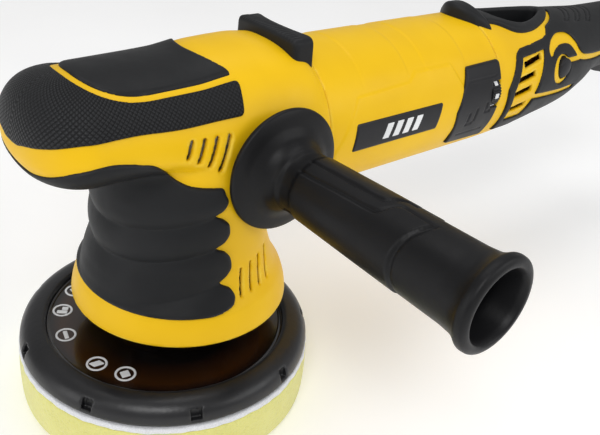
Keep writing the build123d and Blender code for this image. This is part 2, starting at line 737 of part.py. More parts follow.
with BuildPart() as stator_windings:
    for coil_z in (-24, 24):
        with BuildSketch(motor_plane(CORE_START_X - 7)):
            with Locations((0, coil_z)):
                SlotOverall(29, 7)
        extrude(amount=CORE_END_X - CORE_START_X + 14)
stator_windings.part.label = "stator_windings"
export_step(stator_windings.part, "parts/stator_windings.step")

BRUSH_X = 152.5
BRUSH_INNER_Y = COMMUTATOR_RADIUS + 0.2
BRUSH_OUTER_Y = 25.0
HOLDER_OUTER_Y = 35.0
with BuildPart() as carbon_brushes:
    for side in (-1, 1):
        low, high = sorted((side * BRUSH_INNER_Y, side * BRUSH_OUTER_Y))
        add(block(BRUSH_X - 4, BRUSH_X + 4, low, high, MOTOR_AXIS_Z - 3, MOTOR_AXIS_Z + 3))
carbon_brushes.part.label = "carbon_brushes"
export_step(carbon_brushes.part, "parts/carbon_brushes.step")

with BuildPart() as brush_holders:
    for side in (-1, 1):
        low, high = sorted((side * (BRUSH_INNER_Y + 2), side * HOLDER_OUTER_Y))
        add(block(BRUSH_X - 5.5, BRUSH_X + 5.5, low, high, MOTOR_AXIS_Z - 4.5, MOTOR_AXIS_Z + 4.5))
        add(
            block(BRUSH_X - 4.1, BRUSH_X + 4.1, low - 5, high + 5, MOTOR_AXIS_Z - 3.1, MOTOR_AXIS_Z + 3.1),
            mode=Mode.SUBTRACT,
        )
brush_holders.part.label = "brush_holders"
export_step(brush_holders.part, "parts/brush_holders.step")

with BuildPart() as brush_springs:
    for side in (-1, 1):
        start = Plane(origin=(BRUSH_X, side * (BRUSH_OUTER_Y + 0.1), MOTOR_AXIS_Z), z_dir=(0, side, 0))
        add(coil_spring(start, 2.4, 0.8, HOLDER_OUTER_Y - BRUSH_OUTER_Y - 0.3, 6))
brush_springs.part.label = "brush_springs"
export_step(brush_springs.part, "parts/brush_springs.step")

with BuildPart() as bearing_bridge:
    with BuildSketch(motor_plane(REAR_BEARING_X - 2)):
        Circle(STATOR_RADIUS)
        with PolarLocations(25, 6, start_angle=30):
            Circle(8.5, mode=Mode.SUBTRACT)
    extrude(amount=REAR_BEARING_WIDTH + 4)
    with BuildSketch(motor_plane(REAR_BEARING_X - 2)):
        Circle(REAR_BEARING_RADIUS + 0.02)
    extrude(amount=REAR_BEARING_WIDTH + 2, mode=Mode.SUBTRACT)
bearing_bridge.part.label = "bearing_bridge"
export_step(bearing_bridge.part, "parts/bearing_bridge.step")

with BuildPart() as motor_bearings:
    add(bearing(motor_plane(FRONT_BEARING_X), SHAFT_RADIUS + FIT, FRONT_BEARING_RADIUS, FRONT_BEARING_WIDTH))
    add(bearing(motor_plane(REAR_BEARING_X), REAR_SHAFT_RADIUS + FIT, REAR_BEARING_RADIUS, REAR_BEARING_WIDTH))
motor_bearings.part.label = "motor_bearings"
export_step(motor_bearings.part, "parts/motor_bearings.step")

# ---------------------------------------------------------------- outer shells
with BuildPart() as head_outer:
    add(hood_loft(0))
    with BuildSketch(motor_plane(-8)):
        Circle(BARREL_RADIUS)
    extrude(amount=HEAD_END_X + 8)
with BuildPart() as head_inner:
    add(hood_loft(WALL))
    with BuildSketch(motor_plane(-5)):
        Circle(BARREL_INNER_RADIUS)
    extrude(amount=HEAD_END_X + 5.2)
neck_outer = neck_profile(0)
neck_inner = neck_profile(WALL)

VENT_COUNT = 4
VENT_PITCH = 5.85
VENT_WIDTH = 2.4
VENT_START_X = -21.3
VENT_START_Z = 152.8
with BuildPart() as head_shell:
    add(neck_outer)
    add(block(-60, 60, -60, 60, 0, SKIRT_TOP), mode=Mode.SUBTRACT)
    add(head_outer.part)
    add(head_inner.part, mode=Mode.SUBTRACT)
    add(neck_inner, mode=Mode.SUBTRACT)
    with BuildSketch(side_plane(60)):
        Circle(9.4)
    extrude(amount=120, mode=Mode.SUBTRACT)
    for vent in range(VENT_COUNT):
        with BuildSketch(Plane.XZ.offset(60)):
            with Locations((VENT_START_X + vent * VENT_PITCH, VENT_START_Z - 1.6 * vent)):
                SlotOverall(9 + 2.9 * vent, VENT_WIDTH, rotation=71)
        extrude(amount=-120, mode=Mode.SUBTRACT)
head_shell.part.label = "head_shell"
export_step(head_shell.part, "parts/head_shell.step")

SKIRT_VENT_COUNT = 4
with BuildPart() as neck_skirt:
    add(neck_outer)
    add(neck_inner, mode=Mode.SUBTRACT)
    add(head_outer.part, mode=Mode.SUBTRACT)
    add(block(-60, 60, -60, 60, SKIRT_TOP - 0.2, 200), mode=Mode.SUBTRACT)
    for side in (-1, 1):
        for vent in range(SKIRT_VENT_COUNT):
            turn = side * (82 - vent * 9)
            with BuildSketch(Plane.XZ.rotated((0, 0, turn))):
                with Locations((46, 84 + vent * 0.6)):
                    Rectangle(24, 19)
            extrude(amount=1.1, both=True, mode=Mode.SUBTRACT)
neck_skirt.part.label = "neck_skirt"
export_step(neck_skirt.part, "parts/neck_skirt.step")

with BuildPart() as hood_skin:
    add(hood_loft(-SKIN))
    add(head_outer.part, mode=Mode.SUBTRACT)
    add(neck_outer, mode=Mode.SUBTRACT)

BOOT_BOTTOM = 68.0
BOOT_EDGE_X = -5.0
with BuildPart() as nose_underside:
    add(hood_skin.part)
    add(block(HEAD_TIP_X - 5, -38, -60, 60, 100, NOSE_LOW_Z), mode=Mode.INTERSECT)

with BuildPart() as ribbed_boot:
    with BuildSketch(Plane.XZ):
        with BuildLine():
            Spline(
                (52.6, BOOT_BOTTOM + 1),
                (51.0, 73),
                (48.6, 78),
                (46.6, 84.5),
                (47.8, 89),
                (46.6, 95),
                (45.2, 100),
                (46.4, 105),
                (45.8, 112),
                (44.6, 119),
                (45.2, 126),
                (46.0, 134),
                (47.5, 142.9),
            )
            Polyline((47.5, 142.9), (30, 142.9), (30, BOOT_BOTTOM), (52.6, BOOT_BOTTOM), (52.6, BOOT_BOTTOM + 1))
        make_face()
    revolve(axis=Axis.Z)
    add(neck_outer, mode=Mode.SUBTRACT)
    add(head_outer.part, mode=Mode.SUBTRACT)
    add(block(BOOT_EDGE_X, 80, -80, 80, 0, 200), mode=Mode.SUBTRACT)
    add(nose_underside.part)
ribbed_boot.part.label = "ribbed_boot"
export_step(ribbed_boot.part, "parts/ribbed_boot.step")

GRIP_END_X = 7.0
GRIP_LOW_Z = 162.0
PAD_HALF_WIDTH = 23.5
PAD_FRONT_X = -56.5
PAD_SHOULDER_X = -30.0


def plan_region(grow, rear_x):
    """A tall prism over the middle of the hood: round at the front, and cut square at rear_x."""
    half = PAD_HALF_WIDTH + grow
    with BuildPart() as made:
        with BuildSketch(Plane.XY.offset(GRIP_LOW_Z)):
            with BuildLine():
                Line((rear_x, half), (PAD_SHOULDER_X, half))
                EllipticalCenterArc(
                    center=(PAD_SHOULDER_X, 0),
                    x_radius=PAD_SHOULDER_X - PAD_FRONT_X + grow,
                    y_radius=half,
                    start_angle=90,
                    arc_size=180,
                )
                Line((PAD_SHOULDER_X, -half), (rear_x, -half))
                Line((rear_x, -half), (rear_x, half))
            make_face()
        extrude(amount=40)
    return made.part


with BuildPart() as nose_grip:
    add(hood_skin.part)
    add(block(HEAD_TIP_X - 5, GRIP_END_X, -60, 60, GRIP_LOW_Z, 200), mode=Mode.INTERSECT)
    add(plan_region(3, GRIP_END_X + 5), mode=Mode.SUBTRACT)
nose_grip.part.label = "nose_grip"
export_step(nose_grip.part, "parts/nose_grip.step")

with BuildPart() as top_pad:
    add(hood_skin.part)
    add(plan_region(0, 3), mode=Mode.INTERSECT)
top_pad.part.label = "top_pad"
export_step(top_pad.part, "parts/top_pad.step")

FRONT_BUMPER_X = 42.0
FRONT_BUMPER_LENGTH = 11.0
FRONT_BUMPER_HALF_WIDTH = 23.5
FRONT_BUMPER_TOP = 188.0
with BuildPart() as front_bumper:
    add(block(FRONT_BUMPER_X, FRONT_BUMPER_X + FRONT_BUMPER_LENGTH,
              -FRONT_BUMPER_HALF_WIDTH, FRONT_BUMPER_HALF_WIDTH, MOTOR_AXIS_Z, FRONT_BUMPER_TOP))
    fillet(front_bumper.edges().filter_by(Axis.X).group_by(Axis.Z)[-1], 6)
    add(head_outer.part, mode=Mode.SUBTRACT)
front_bumper.part.label = "front_bumper"
export_step(front_bumper.part, "parts/front_bumper.step")

with BuildPart() as motor_housing:
    with BuildSketch(motor_plane(MOTOR_START_X)):
        Circle(BARREL_RADIUS)
        Circle(BARREL_INNER_RADIUS, mode=Mode.SUBTRACT)
    extrude(amount=MOTOR_END_X - MOTOR_START_X)
    add(
        block(DIAL_X - 1.5, MOTOR_END_X + 1, -60, -20, DIAL_Z - 11, DIAL_Z + 11),
        mode=Mode.SUBTRACT,
    )
    for side in (-1, 1):
        low, high = sorted((side * 30, side * 60))
        add(block(BRUSH_X - 5, BRUSH_X + 5, low, high, MOTOR_AXIS_Z - 5, MOTOR_AXIS_Z + 5), mode=Mode.SUBTRACT)
motor_housing.part.label = "motor_housing"
export_step(motor_housing.part, "parts/motor_housing.step")

REAR_BUMPER_X = 187.0
REAR_BUMPER_LENGTH = 12.0
REAR_BUMPER_HALF_WIDTH = 20.0
with BuildPart() as rear_bumper:
    with BuildSketch(motor_plane(REAR_BUMPER_X)):
        Circle(BARREL_RADIUS + 7.5)
        Circle(BARREL_RADIUS + 0.02, mode=Mode.SUBTRACT)
    extrude(amount=REAR_BUMPER_LENGTH)
    add(
        block(REAR_BUMPER_X - 5, REAR_BUMPER_X + 20, -REAR_BUMPER_HALF_WIDTH, REAR_BUMPER_HALF_WIDTH,
              MOTOR_AXIS_Z + 23.5, 220),
        mode=Mode.INTERSECT,
    )
    fillet(rear_bumper.edges().filter_by(GeomType.CIRCLE).filter_by(lambda e: e.radius > 46), 2.5)
rear_bumper.part.label = "rear_bumper"
export_step(rear_bumper.part, "parts/rear_bumper.step")


def barrel_patch(x0, x1, lean, z0, z1, thickness, side):
    """A thin plate wrapped on the barrel: a leaning rectangle seen from the side."""
    with BuildPart() as made:
        with BuildSketch(motor_plane(x0 - 20)):
            Circle(BARREL_RADIUS + thickness)
            Circle(BARREL_RADIUS + 0.02, mode=Mode.SUBTRACT)
        extrude(amount=x1 - x0 + 40)
        with BuildSketch(Plane.XZ.offset(60 if side < 0 else 0)):
            with BuildLine():
                Polyline((x0 - lean, z0), (x1 - lean, z0), (x1 + lean, z1), (x0 + lean, z1), close=True)
            make_face()
        extrude(amount=-60, mode=Mode.INTERSECT)
    return made.part


with BuildPart() as name_plates:
    for side in (-1, 1):
        add(barrel_patch(74, 138, 1.2, MOTOR_AXIS_Z - 6, MOTOR_AXIS_Z + 8.5, 0.8, side))
name_plates.part.label = "name_plates"
export_step(name_plates.part, "parts/name_plates.step")

COVER_THICKNESS = 1.6
with BuildPart() as side_cover_left:
    add(barrel_patch(156, 189, 3.3, MOTOR_AXIS_Z - 24, MOTOR_AXIS_Z + 21.5, COVER_THICKNESS, -1))
    add(block(DIAL_X - 1.5, DIAL_X + 20, -60, -20, DIAL_Z - 9, DIAL_Z + 9), mode=Mode.SUBTRACT)
side_cover_left.part.label = "side_cover_left"
export_step(side_cover_left.part, "parts/side_cover_left.step")

with BuildPart() as side_cover_right:
    add(barrel_patch(156, 189, 3.3, MOTOR_AXIS_Z - 24, MOTOR_AXIS_Z + 21.5, COVER_THICKNESS, 1))
side_cover_right.part.label = "side_cover_right"
export_step(side_cover_right.part, "parts/side_cover_right.step")

# ---------------------------------------------------------------- rear housing, in two halves
rear_outer = rear_loft(0, 0)
rear_inner = rear_loft(WALL, 3)
RECESS_X = 244.0
RECESS_HALF_LENGTH = 30.0
RECESS_HALF_WIDTH = 18.0
RECESS_FLOOR_Z = 160.0
LOUVRE_X = 223.0
LOUVRE_Z = 141.0
LOUVRE_COUNT = 4
TRIGGER_LENGTH = 42.0
SWITCH_BOTTOM = 143.0
PIN_RADIUS = 1.55
PIN_REACH = 12.5
HOUSING_SCREWS = ((206, 112), (300, 126), (340, 158), (412, 146))


def upright_ellipse(x, half_length, half_width, z0, z1):
    """A tall elliptical prism over the rear housing."""
    with BuildPart() as made:
        with BuildSketch(Plane.XY.offset(z0)):
            with Locations((x, 0)):
                Ellipse(half_length, half_width)
        extrude(amount=z1 - z0)
    return made.part


with BuildPart() as rear_body:
    add(rear_outer)
    add(rear_inner, mode=Mode.SUBTRACT)
    for screw_x, screw_z in HOUSING_SCREWS:
        with BuildSketch(Plane.XZ.offset(-60)):
            with Locations((screw_x, screw_z)):
                Circle(5)
        extrude(amount=120)
    with BuildSketch(Plane.XZ.offset(-PIN_REACH)):
        with Locations((TRIGGER_PIVOT_X, TRIGGER_PIVOT_Z)):
            Circle(4.5)
    extrude(amount=2 * PIN_REACH)
    add(rear_outer, mode=Mode.INTERSECT)
    for screw_x, screw_z in HOUSING_SCREWS:
        with BuildSketch(Plane.XZ.offset(-60)):
            with Locations((screw_x, screw_z)):
                Circle(2.1)
        extrude(amount=120, mode=Mode.SUBTRACT)
    with BuildSketch(Plane.XZ.offset(-11.2)):
        with Locations((TRIGGER_PIVOT_X, TRIGGER_PIVOT_Z)):
            Circle(PIN_RADIUS + 0.05)
    extrude(amount=22.4, mode=Mode.SUBTRACT)
    add(
        upright_ellipse(RECESS_X, RECESS_HALF_LENGTH, RECESS_HALF_WIDTH, RECESS_FLOOR_Z, 200),
        mode=Mode.SUBTRACT,
    )
    add(
        block(TRIGGER_PIVOT_X - 5, TRIGGER_PIVOT_X + TRIGGER_LENGTH, -8.5, 8.5, 100, SWITCH_BOTTOM - 3),
        mode=Mode.SUBTRACT,
    )
    with BuildSketch(Plane.XZ.offset(-60)):
        with Locations((LOCK_X, LOCK_Z)):
            Circle(7.3)
    extrude(amount=-60, mode=Mode.SUBTRACT)
    with BuildSketch(Plane.XZ.offset(60)):
        with Locations((LOCK_X, LOCK_Z)):
            Circle(7.3)
    extrude(amount=-60, mode=Mode.SUBTRACT)
    for row in range(LOUVRE_COUNT):
        with BuildSketch(Plane.XZ.offset(-60)):
            with Locations((LOUVRE_X + (1.5 - row) * -1.4, LOUVRE_Z + (1.5 - row) * 9.4)):
                Rectangle(21, 3.2, rotation=3)
        extrude(amount=120, mode=Mode.SUBTRACT)
    with BuildSketch(Plane(origin=(REAR_END_X - 10, 0, 146), x_dir=(0, 1, 0), z_dir=(1, 0, 0))):
        Circle(9.1)
    extrude(amount=20, mode=Mode.SUBTRACT)

with BuildPart() as rear_housing_left:
    add(rear_body.part)
    add(block(150, 450, 0, 80, 50, 220), mode=Mode.SUBTRACT)
rear_housing_left.part.label = "rear_housing_left"
export_step(rear_housing_left.part, "parts/rear_housing_left.step")

with BuildPart() as rear_housing_right:
    add(rear_body.part)
    add(block(150, 450, -80, 0, 50, 220), mode=Mode.SUBTRACT)
rear_housing_right.part.label = "rear_housing_right"
export_step(rear_housing_right.part, "parts/rear_housing_right.step")

with BuildPart() as handle_grip:
    add(rear_loft(-SKIN, 0))
    add(rear_outer, mode=Mode.SUBTRACT)
    add(block(GRIP_START_X, REAR_END_X - 0.5, -80, 80, 50, 220), mode=Mode.INTERSECT)
    add(
        block(TRIGGER_PIVOT_X - 6, TRIGGER_PIVOT_X + TRIGGER_LENGTH + 1, -9.5, 9.5, 100, SWITCH_BOTTOM - 3),
        mode=Mode.SUBTRACT,
    )
handle_grip.part.label = "handle_grip"
export_step(handle_grip.part, "parts/handle_grip.step")

with BuildPart() as recess_trim:
    add(upright_ellipse(RECESS_X, RECESS_HALF_LENGTH - 0.1, RECESS_HALF_WIDTH - 0.1, RECESS_FLOOR_Z, 176))
    add(
        upright_ellipse(RECESS_X, RECESS_HALF_LENGTH - 2.5, RECESS_HALF_WIDTH - 2.5, RECESS_FLOOR_Z + 2, 200),
        mode=Mode.SUBTRACT,
    )
recess_trim.part.label = "recess_trim"
export_step(recess_trim.part, "parts/recess_trim.step")

with BuildPart() as housing_screws:
    for screw_x, screw_z in HOUSING_SCREWS:
        half = rear_half_width(screw_x)
        lift = min(1.0, abs(screw_z - MOTOR_AXIS_Z) / BARREL_RADIUS)
        start_y = -half * (1 - lift * lift) ** 0.5 + 6
        with BuildSketch(Plane.XZ.offset(-start_y)):
            with Locations((screw_x, screw_z)):
                Circle(2.0)
        extrude(amount=2 * start_y)
housing_screws.part.label = "housing_screws"
export_step(housing_screws.part, "parts/housing_screws.step")

# ---------------------------------------------------------------- controls
POT_X = DIAL_X + DIAL_WIDTH + 1.2
with BuildPart() as speed_dial:
    with BuildSketch(Plane(origin=(DIAL_X, DIAL_Y, DIAL_Z), x_dir=(0, 1, 0), z_dir=(1, 0, 0))):
        Circle(DIAL_RADIUS)
        with PolarLocations(DIAL_RADIUS, 36):
            Circle(0.45, mode=Mode.SUBTRACT)
        Circle(3.0, mode=Mode.SUBTRACT)
    extrude(amount=DIAL_WIDTH)
speed_dial.part.label = "speed_dial"
export_step(speed_dial.part, "parts/speed_dial.step")

with BuildPart() as speed_control:
    with BuildSketch(Plane(origin=(DIAL_X - 2, DIAL_Y, DIAL_Z), x_dir=(0, 1, 0), z_dir=(1, 0, 0))):
        Circle(3.0 - FIT)
    extrude(amount=POT_X - DIAL_X + 3)
    with BuildSketch(Plane(origin=(POT_X, DIAL_Y, DIAL_Z), x_dir=(0, 1, 0), z_dir=(1, 0, 0))):
        Circle(3.8)
    extrude(amount=5)
    add(block(POT_X + 4.8, POT_X + 7, -33, 6, DIAL_Z - 10, DIAL_Z + 8))
    add(block(POT_X + 7, POT_X + 16, -16, -4, DIAL_Z - 8, DIAL_Z + 6))
    add(block(POT_X + 7, POT_X + 12, -1, 5, DIAL_Z - 10, DIAL_Z + 12))
speed_control.part.label = "speed_control"
export_step(speed_control.part, "parts/speed_control.step")

SWITCH_START_X = 352.0
SWITCH_END_X = 394.0
with BuildPart() as switch_body:
    add(block(SWITCH_START_X, SWITCH_END_X, -8, 8, SWITCH_BOTTOM, 162))
    fillet(switch_body.edges().filter_by(Axis.Z), 1.5)
    add(block(SWITCH_END_X, SWITCH_END_X + 5, -5, 5, 148, 156))
switch_body.part.label = "switch_body"
export_step(switch_body.part, "parts/switch_body.step")

# The trigger hangs from a pin across the handle and swings up towards the switch.
TRIGGER_BOTTOM_Z = 114.0
with BuildPart() as trigger:
    with BuildSketch(Plane.XZ.offset(-7.5)):
        with BuildLine():
            l1 = Line((TRIGGER_PIVOT_X - 3.5, TRIGGER_PIVOT_Z + 3.5), (TRIGGER_PIVOT_X + 38, TRIGGER_PIVOT_Z + 3.5))
            l2 = Line(l1 @ 1, (TRIGGER_PIVOT_X + 38, TRIGGER_BOTTOM_Z + 5))
            l3 = Spline(
                l2 @ 1,
                (TRIGGER_PIVOT_X + 34, TRIGGER_BOTTOM_Z + 1),
                (TRIGGER_PIVOT_X + 24, TRIGGER_BOTTOM_Z + 2.5),
                (TRIGGER_PIVOT_X + 10, TRIGGER_BOTTOM_Z + 6),
                (TRIGGER_PIVOT_X - 3.5, TRIGGER_PIVOT_Z - 5),
            )
            Line(l3 @ 1, l1 @ 0)
        make_face()
    extrude(amount=15)
    with BuildSketch(Plane.XZ.offset(-8)):
        with Locations((TRIGGER_PIVOT_X, TRIGGER_PIVOT_Z)):
            Circle(PIN_RADIUS + 0.05)
    extrude(amount=16, mode=Mode.SUBTRACT)
trigger.part.label = "trigger"
export_step(trigger.part, "parts/trigger.step")

with BuildPart() as trigger_pin:
    with BuildSketch(Plane.XZ.offset(-11)):
        with Locations((TRIGGER_PIVOT_X, TRIGGER_PIVOT_Z)):
            Circle(PIN_RADIUS)
    extrude(amount=22)
trigger_pin.part.label = "trigger_pin"
export_step(trigger_pin.part, "parts/trigger_pin.step")

TRIGGER_SPRING_X = TRIGGER_PIVOT_X + 30
with BuildPart() as trigger_spring:
    add(
        coil_spring(
            Plane(origin=(TRIGGER_SPRING_X, 0, TRIGGER_PIVOT_Z + 3.6), z_dir=(0, 0, 1)),
            3.2,
            0.9,
            SWITCH_BOTTOM - TRIGGER_PIVOT_Z - 3.8,
            4,
        )
    )
trigger_spring.part.label = "trigger_spring"
export_step(trigger_spring.part, "parts/trigger_spring.step")

LOCK_OUTER_Y = -36.8
LOCK_TRAVEL = 3.0
with BuildPart() as lock_button:
    with BuildSketch(Plane(origin=(LOCK_X, LOCK_OUTER_Y, LOCK_Z), x_dir=(1, 0, 0), z_dir=(0, 1, 0))):
        Circle(6.8)
    extrude(amount=9)
    fillet(lock_button.edges().group_by(Axis.Y)[0], 1.2)
    with BuildSketch(Plane(origin=(LOCK_X, LOCK_OUTER_Y + 9, LOCK_Z), x_dir=(1, 0, 0), z_dir=(0, 1, 0))):
        Circle(3)
    extrude(amount=6)
lock_button.part.label = "lock_button"
export_step(lock_button.part, "parts/lock_button.step")

with BuildPart() as cable_inlet:
    inlet_plane = Plane(origin=(REAR_END_X - 6, 0, 146), x_dir=(0, 1, 0), z_dir=(1, 0, 0))
    with BuildSketch(inlet_plane):
        Circle(9)
    extrude(amount=6.2)
    with BuildSketch(inlet_plane.offset(6.2)):
        Circle(11)
    extrude(amount=5)
    fillet(cable_inlet.edges().group_by(Axis.X)[-1], 2)
    with BuildSketch(inlet_plane):
        Circle(INLET_RADIUS)
    extrude(amount=20, mode=Mode.SUBTRACT)
cable_inlet.part.label = "cable_inlet"
export_step(cable_inlet.part, "parts/cable_inlet.step")

# ---------------------------------------------------------------- side handle
FLANGE_Y = -(BOSS_FACE_Y + 0.3)
BORE_MOUTH_RADIUS = 15.6
BORE_FLOOR_Y = -108.0
with BuildPart() as side_handle_grip:
    with BuildSketch(Plane.XY.offset(SIDE_AXIS_Z)):
        with BuildLine():
            outline = Polyline(
                (SIDE_AXIS_X, FLANGE_Y),
                (SIDE_AXIS_X + 12, FLANGE_Y),
                (SIDE_AXIS_X + 30, FLANGE_Y + 0.0),
                (SIDE_AXIS_X + 30, FLANGE_Y - 3),
                (SIDE_AXIS_X + 22, FLANGE_Y - 6),
                (SIDE_AXIS_X + 14.2, FLANGE_Y - 15),
                (SIDE_AXIS_X + 15.4, FLANGE_Y - 22),
                (SIDE_AXIS_X + 16.4, FLANGE_Y - 60),
                (SIDE_AXIS_X + 17.6, HANDLE_END_Y + 16),
                (SIDE_AXIS_X + 20.6, HANDLE_END_Y + 6),
                (SIDE_AXIS_X + 21.1, HANDLE_END_Y + 3),
                (SIDE_AXIS_X + 19.0, HANDLE_END_Y),
                (SIDE_AXIS_X + BORE_MOUTH_RADIUS, HANDLE_END_Y),
                (SIDE_AXIS_X + 12.4, HANDLE_END_Y + 12),
                (SIDE_AXIS_X + 12.0, BORE_FLOOR_Y),
                (SIDE_AXIS_X, BORE_FLOOR_Y),
                close=True,
            )
        make_face()
    revolve(axis=Axis((SIDE_AXIS_X, 0, SIDE_AXIS_Z), (0, 1, 0)))
    with BuildSketch(side_plane(FLANGE_Y)):
        Circle(STUD_RADIUS + 0.02)
    extrude(amount=32, mode=Mode.SUBTRACT)
side_handle_grip.part.label = "side_handle_grip"
export_step(side_handle_grip.part, "parts/side_handle_grip.step")

with BuildPart() as side_handle_stud:
    with BuildSketch(side_plane(-BOSS_FACE_Y + 11)):
        Circle(STUD_RADIUS)
    extrude(amount=42)
side_handle_stud.part.label = "side_handle_stud"
export_step(side_handle_stud.part, "parts/side_handle_stud.step")
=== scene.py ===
import json
import math

import bpy
import numpy as np
from mathutils import Matrix, Vector


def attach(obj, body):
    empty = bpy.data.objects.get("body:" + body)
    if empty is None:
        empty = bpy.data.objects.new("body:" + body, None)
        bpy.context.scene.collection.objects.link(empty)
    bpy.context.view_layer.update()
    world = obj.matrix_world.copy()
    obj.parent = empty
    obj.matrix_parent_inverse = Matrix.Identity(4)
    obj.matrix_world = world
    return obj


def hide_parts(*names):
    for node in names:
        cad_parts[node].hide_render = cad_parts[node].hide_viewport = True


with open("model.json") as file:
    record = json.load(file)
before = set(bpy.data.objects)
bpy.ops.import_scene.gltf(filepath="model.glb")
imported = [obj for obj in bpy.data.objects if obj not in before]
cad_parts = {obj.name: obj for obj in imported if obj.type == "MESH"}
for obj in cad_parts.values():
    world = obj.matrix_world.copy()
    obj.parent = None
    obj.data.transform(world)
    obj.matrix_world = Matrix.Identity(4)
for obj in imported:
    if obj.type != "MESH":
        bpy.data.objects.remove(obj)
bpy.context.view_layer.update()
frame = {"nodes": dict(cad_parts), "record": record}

# Shapes are worked out in millimetres in the CAD frame: the spindle is the Z axis, the motor runs
# along +X and the side handle leaves along -Y. Meshes are scaled to metres when they are made.
MM = 0.001
MOTOR_Z, BARREL_RADIUS = 138.0, 40.0
SEAM_X = 193.2
PAD_X = -7.5
HANDLE_X, HANDLE_Z = 25.5, 135.5
LOCK_X, LOCK_Z = 269.0, 144.5
DIAL_Y, DIAL_Z = -32.2, 142.0
INLET_Z = 146.0
WALL = 2.6
LEFT, RIGHT = -1, 1


# ---------------------------------------------------------------- curves and distances
def curve(x, points):
    """A smooth curve through (place, value) points that never overshoots them."""
    xs = np.array([p[0] for p in points], float)
    ys = np.array([p[1] for p in points], float)
    step = np.diff(xs)
    slope = np.diff(ys) / step
    tangent = np.zeros_like(ys)
    same = slope[:-1] * slope[1:] > 0
    total = slope[:-1] + slope[1:]
    tangent[1:-1] = np.where(same, 2 * slope[:-1] * slope[1:] / np.where(same, total, 1), 0)
    x = np.clip(x, xs[0], xs[-1])
    i = np.clip(np.searchsorted(xs, x) - 1, 0, len(step) - 1)
    t = (x - xs[i]) / step[i]
    a, b = tangent[i] * step[i], tangent[i + 1] * step[i]
    start = ys[i] * (1 + 2 * t) * (1 - t) ** 2 + a * t * (1 - t) ** 2
    return start + ys[i + 1] * t * t * (3 - 2 * t) - b * t * t * (1 - t)


def smooth_max(a, b, k):
    h = np.clip(0.5 + 0.5 * (a - b) / k, 0, 1)
    return b + (a - b) * h + k * h * (1 - h)


def smooth_min(a, b, k):
    return -smooth_max(-a, -b, k)


def ramp(value, low, high):
    """0 below low, 1 above high, and smooth between."""
    t = np.clip((value - low) / (high - low), 0, 1)
    return t * t * (3 - 2 * t)


def run_distance(u, v, start, end):
    """Distance to one straight run."""
    (u0, v0), (u1, v1) = start, end
    eu, ev = u1 - u0, v1 - v0
    t = np.clip(((u - u0) * eu + (v - v0) * ev) / (eu * eu + ev * ev), 0, 1)
    return np.hypot(u - u0 - t * eu, v - v0 - t * ev)


def patch(u, v, corners, rounding=0.0):
    """Signed distance to a closed outline, negative inside, with its corners rounded."""
    best = np.full(np.shape(u), 1e9)
    inside = np.zeros(np.shape(u), bool)
    for (u0, v0), (u1, v1) in zip(corners, corners[1:] + corners[:1]):
        best = np.minimum(best, run_distance(u, v, (u0, v0), (u1, v1)))
        if v0 != v1:
            inside ^= ((v0 > v) != (v1 > v)) & (u < (u1 - u0) * (v - v0) / (v1 - v0) + u0)
    return np.where(inside, -best, best) - rounding


def smooth_line(points, per_span=8):
    """A smooth open line through a few points."""
    p = np.array([points[0]] + list(points) + [points[-1]], float)
    out = []
    for i in range(1, len(p) - 2):
        for k in range(per_span):
            t = k / per_span
            a, b, c, d = p[i - 1], p[i], p[i + 1], p[i + 2]
            out.append(0.5 * (2 * b + (c - a) * t + (2 * a - 5 * b + 4 * c - d) * t * t
                              + (3 * b - a - 3 * c + d) * t ** 3))
    out.append(p[-2])
    return [tuple(q) for q in out]


def line_distance(u, v, points):
    """Distance to an open line of straight runs."""
    best = np.full(np.shape(u), 1e9)
    for start, end in zip(points, points[1:]):
        best = np.minimum(best, run_distance(u, v, start, end))
    return best


# ---------------------------------------------------------------- meshes from distance fields
BLOCK = 8


def sample(field, low, high, step):
    """A field's values on a grid, worked out in full only near the surface."""
    counts = [int(math.ceil((h - l) / step / BLOCK)) * BLOCK for l, h in zip(low, high)]
    axes = [l + step * np.arange(n) for l, n in zip(low, counts)]
    centres = np.meshgrid(*[a.reshape(-1, BLOCK).mean(1) for a in axes], indexing="ij")
    rough = field(*[c.ravel() for c in centres]).reshape(centres[0].shape)
    values = rough.repeat(BLOCK, 0).repeat(BLOCK, 1).repeat(BLOCK, 2).astype(np.float64)
    near = np.argwhere(np.abs(rough) < step * BLOCK * 1.4)
    offsets = np.stack(np.meshgrid(*[np.arange(BLOCK)] * 3, indexing="ij"), -1).reshape(-1, 3)
    for start in range(0, len(near), 500):
        index = (near[start:start + 500, None, :] * BLOCK + offsets[None]).reshape(-1, 3)
        place = [axes[k][index[:, k]] for k in range(3)]
        values[index[:, 0], index[:, 1], index[:, 2]] = field(*place)
    return values


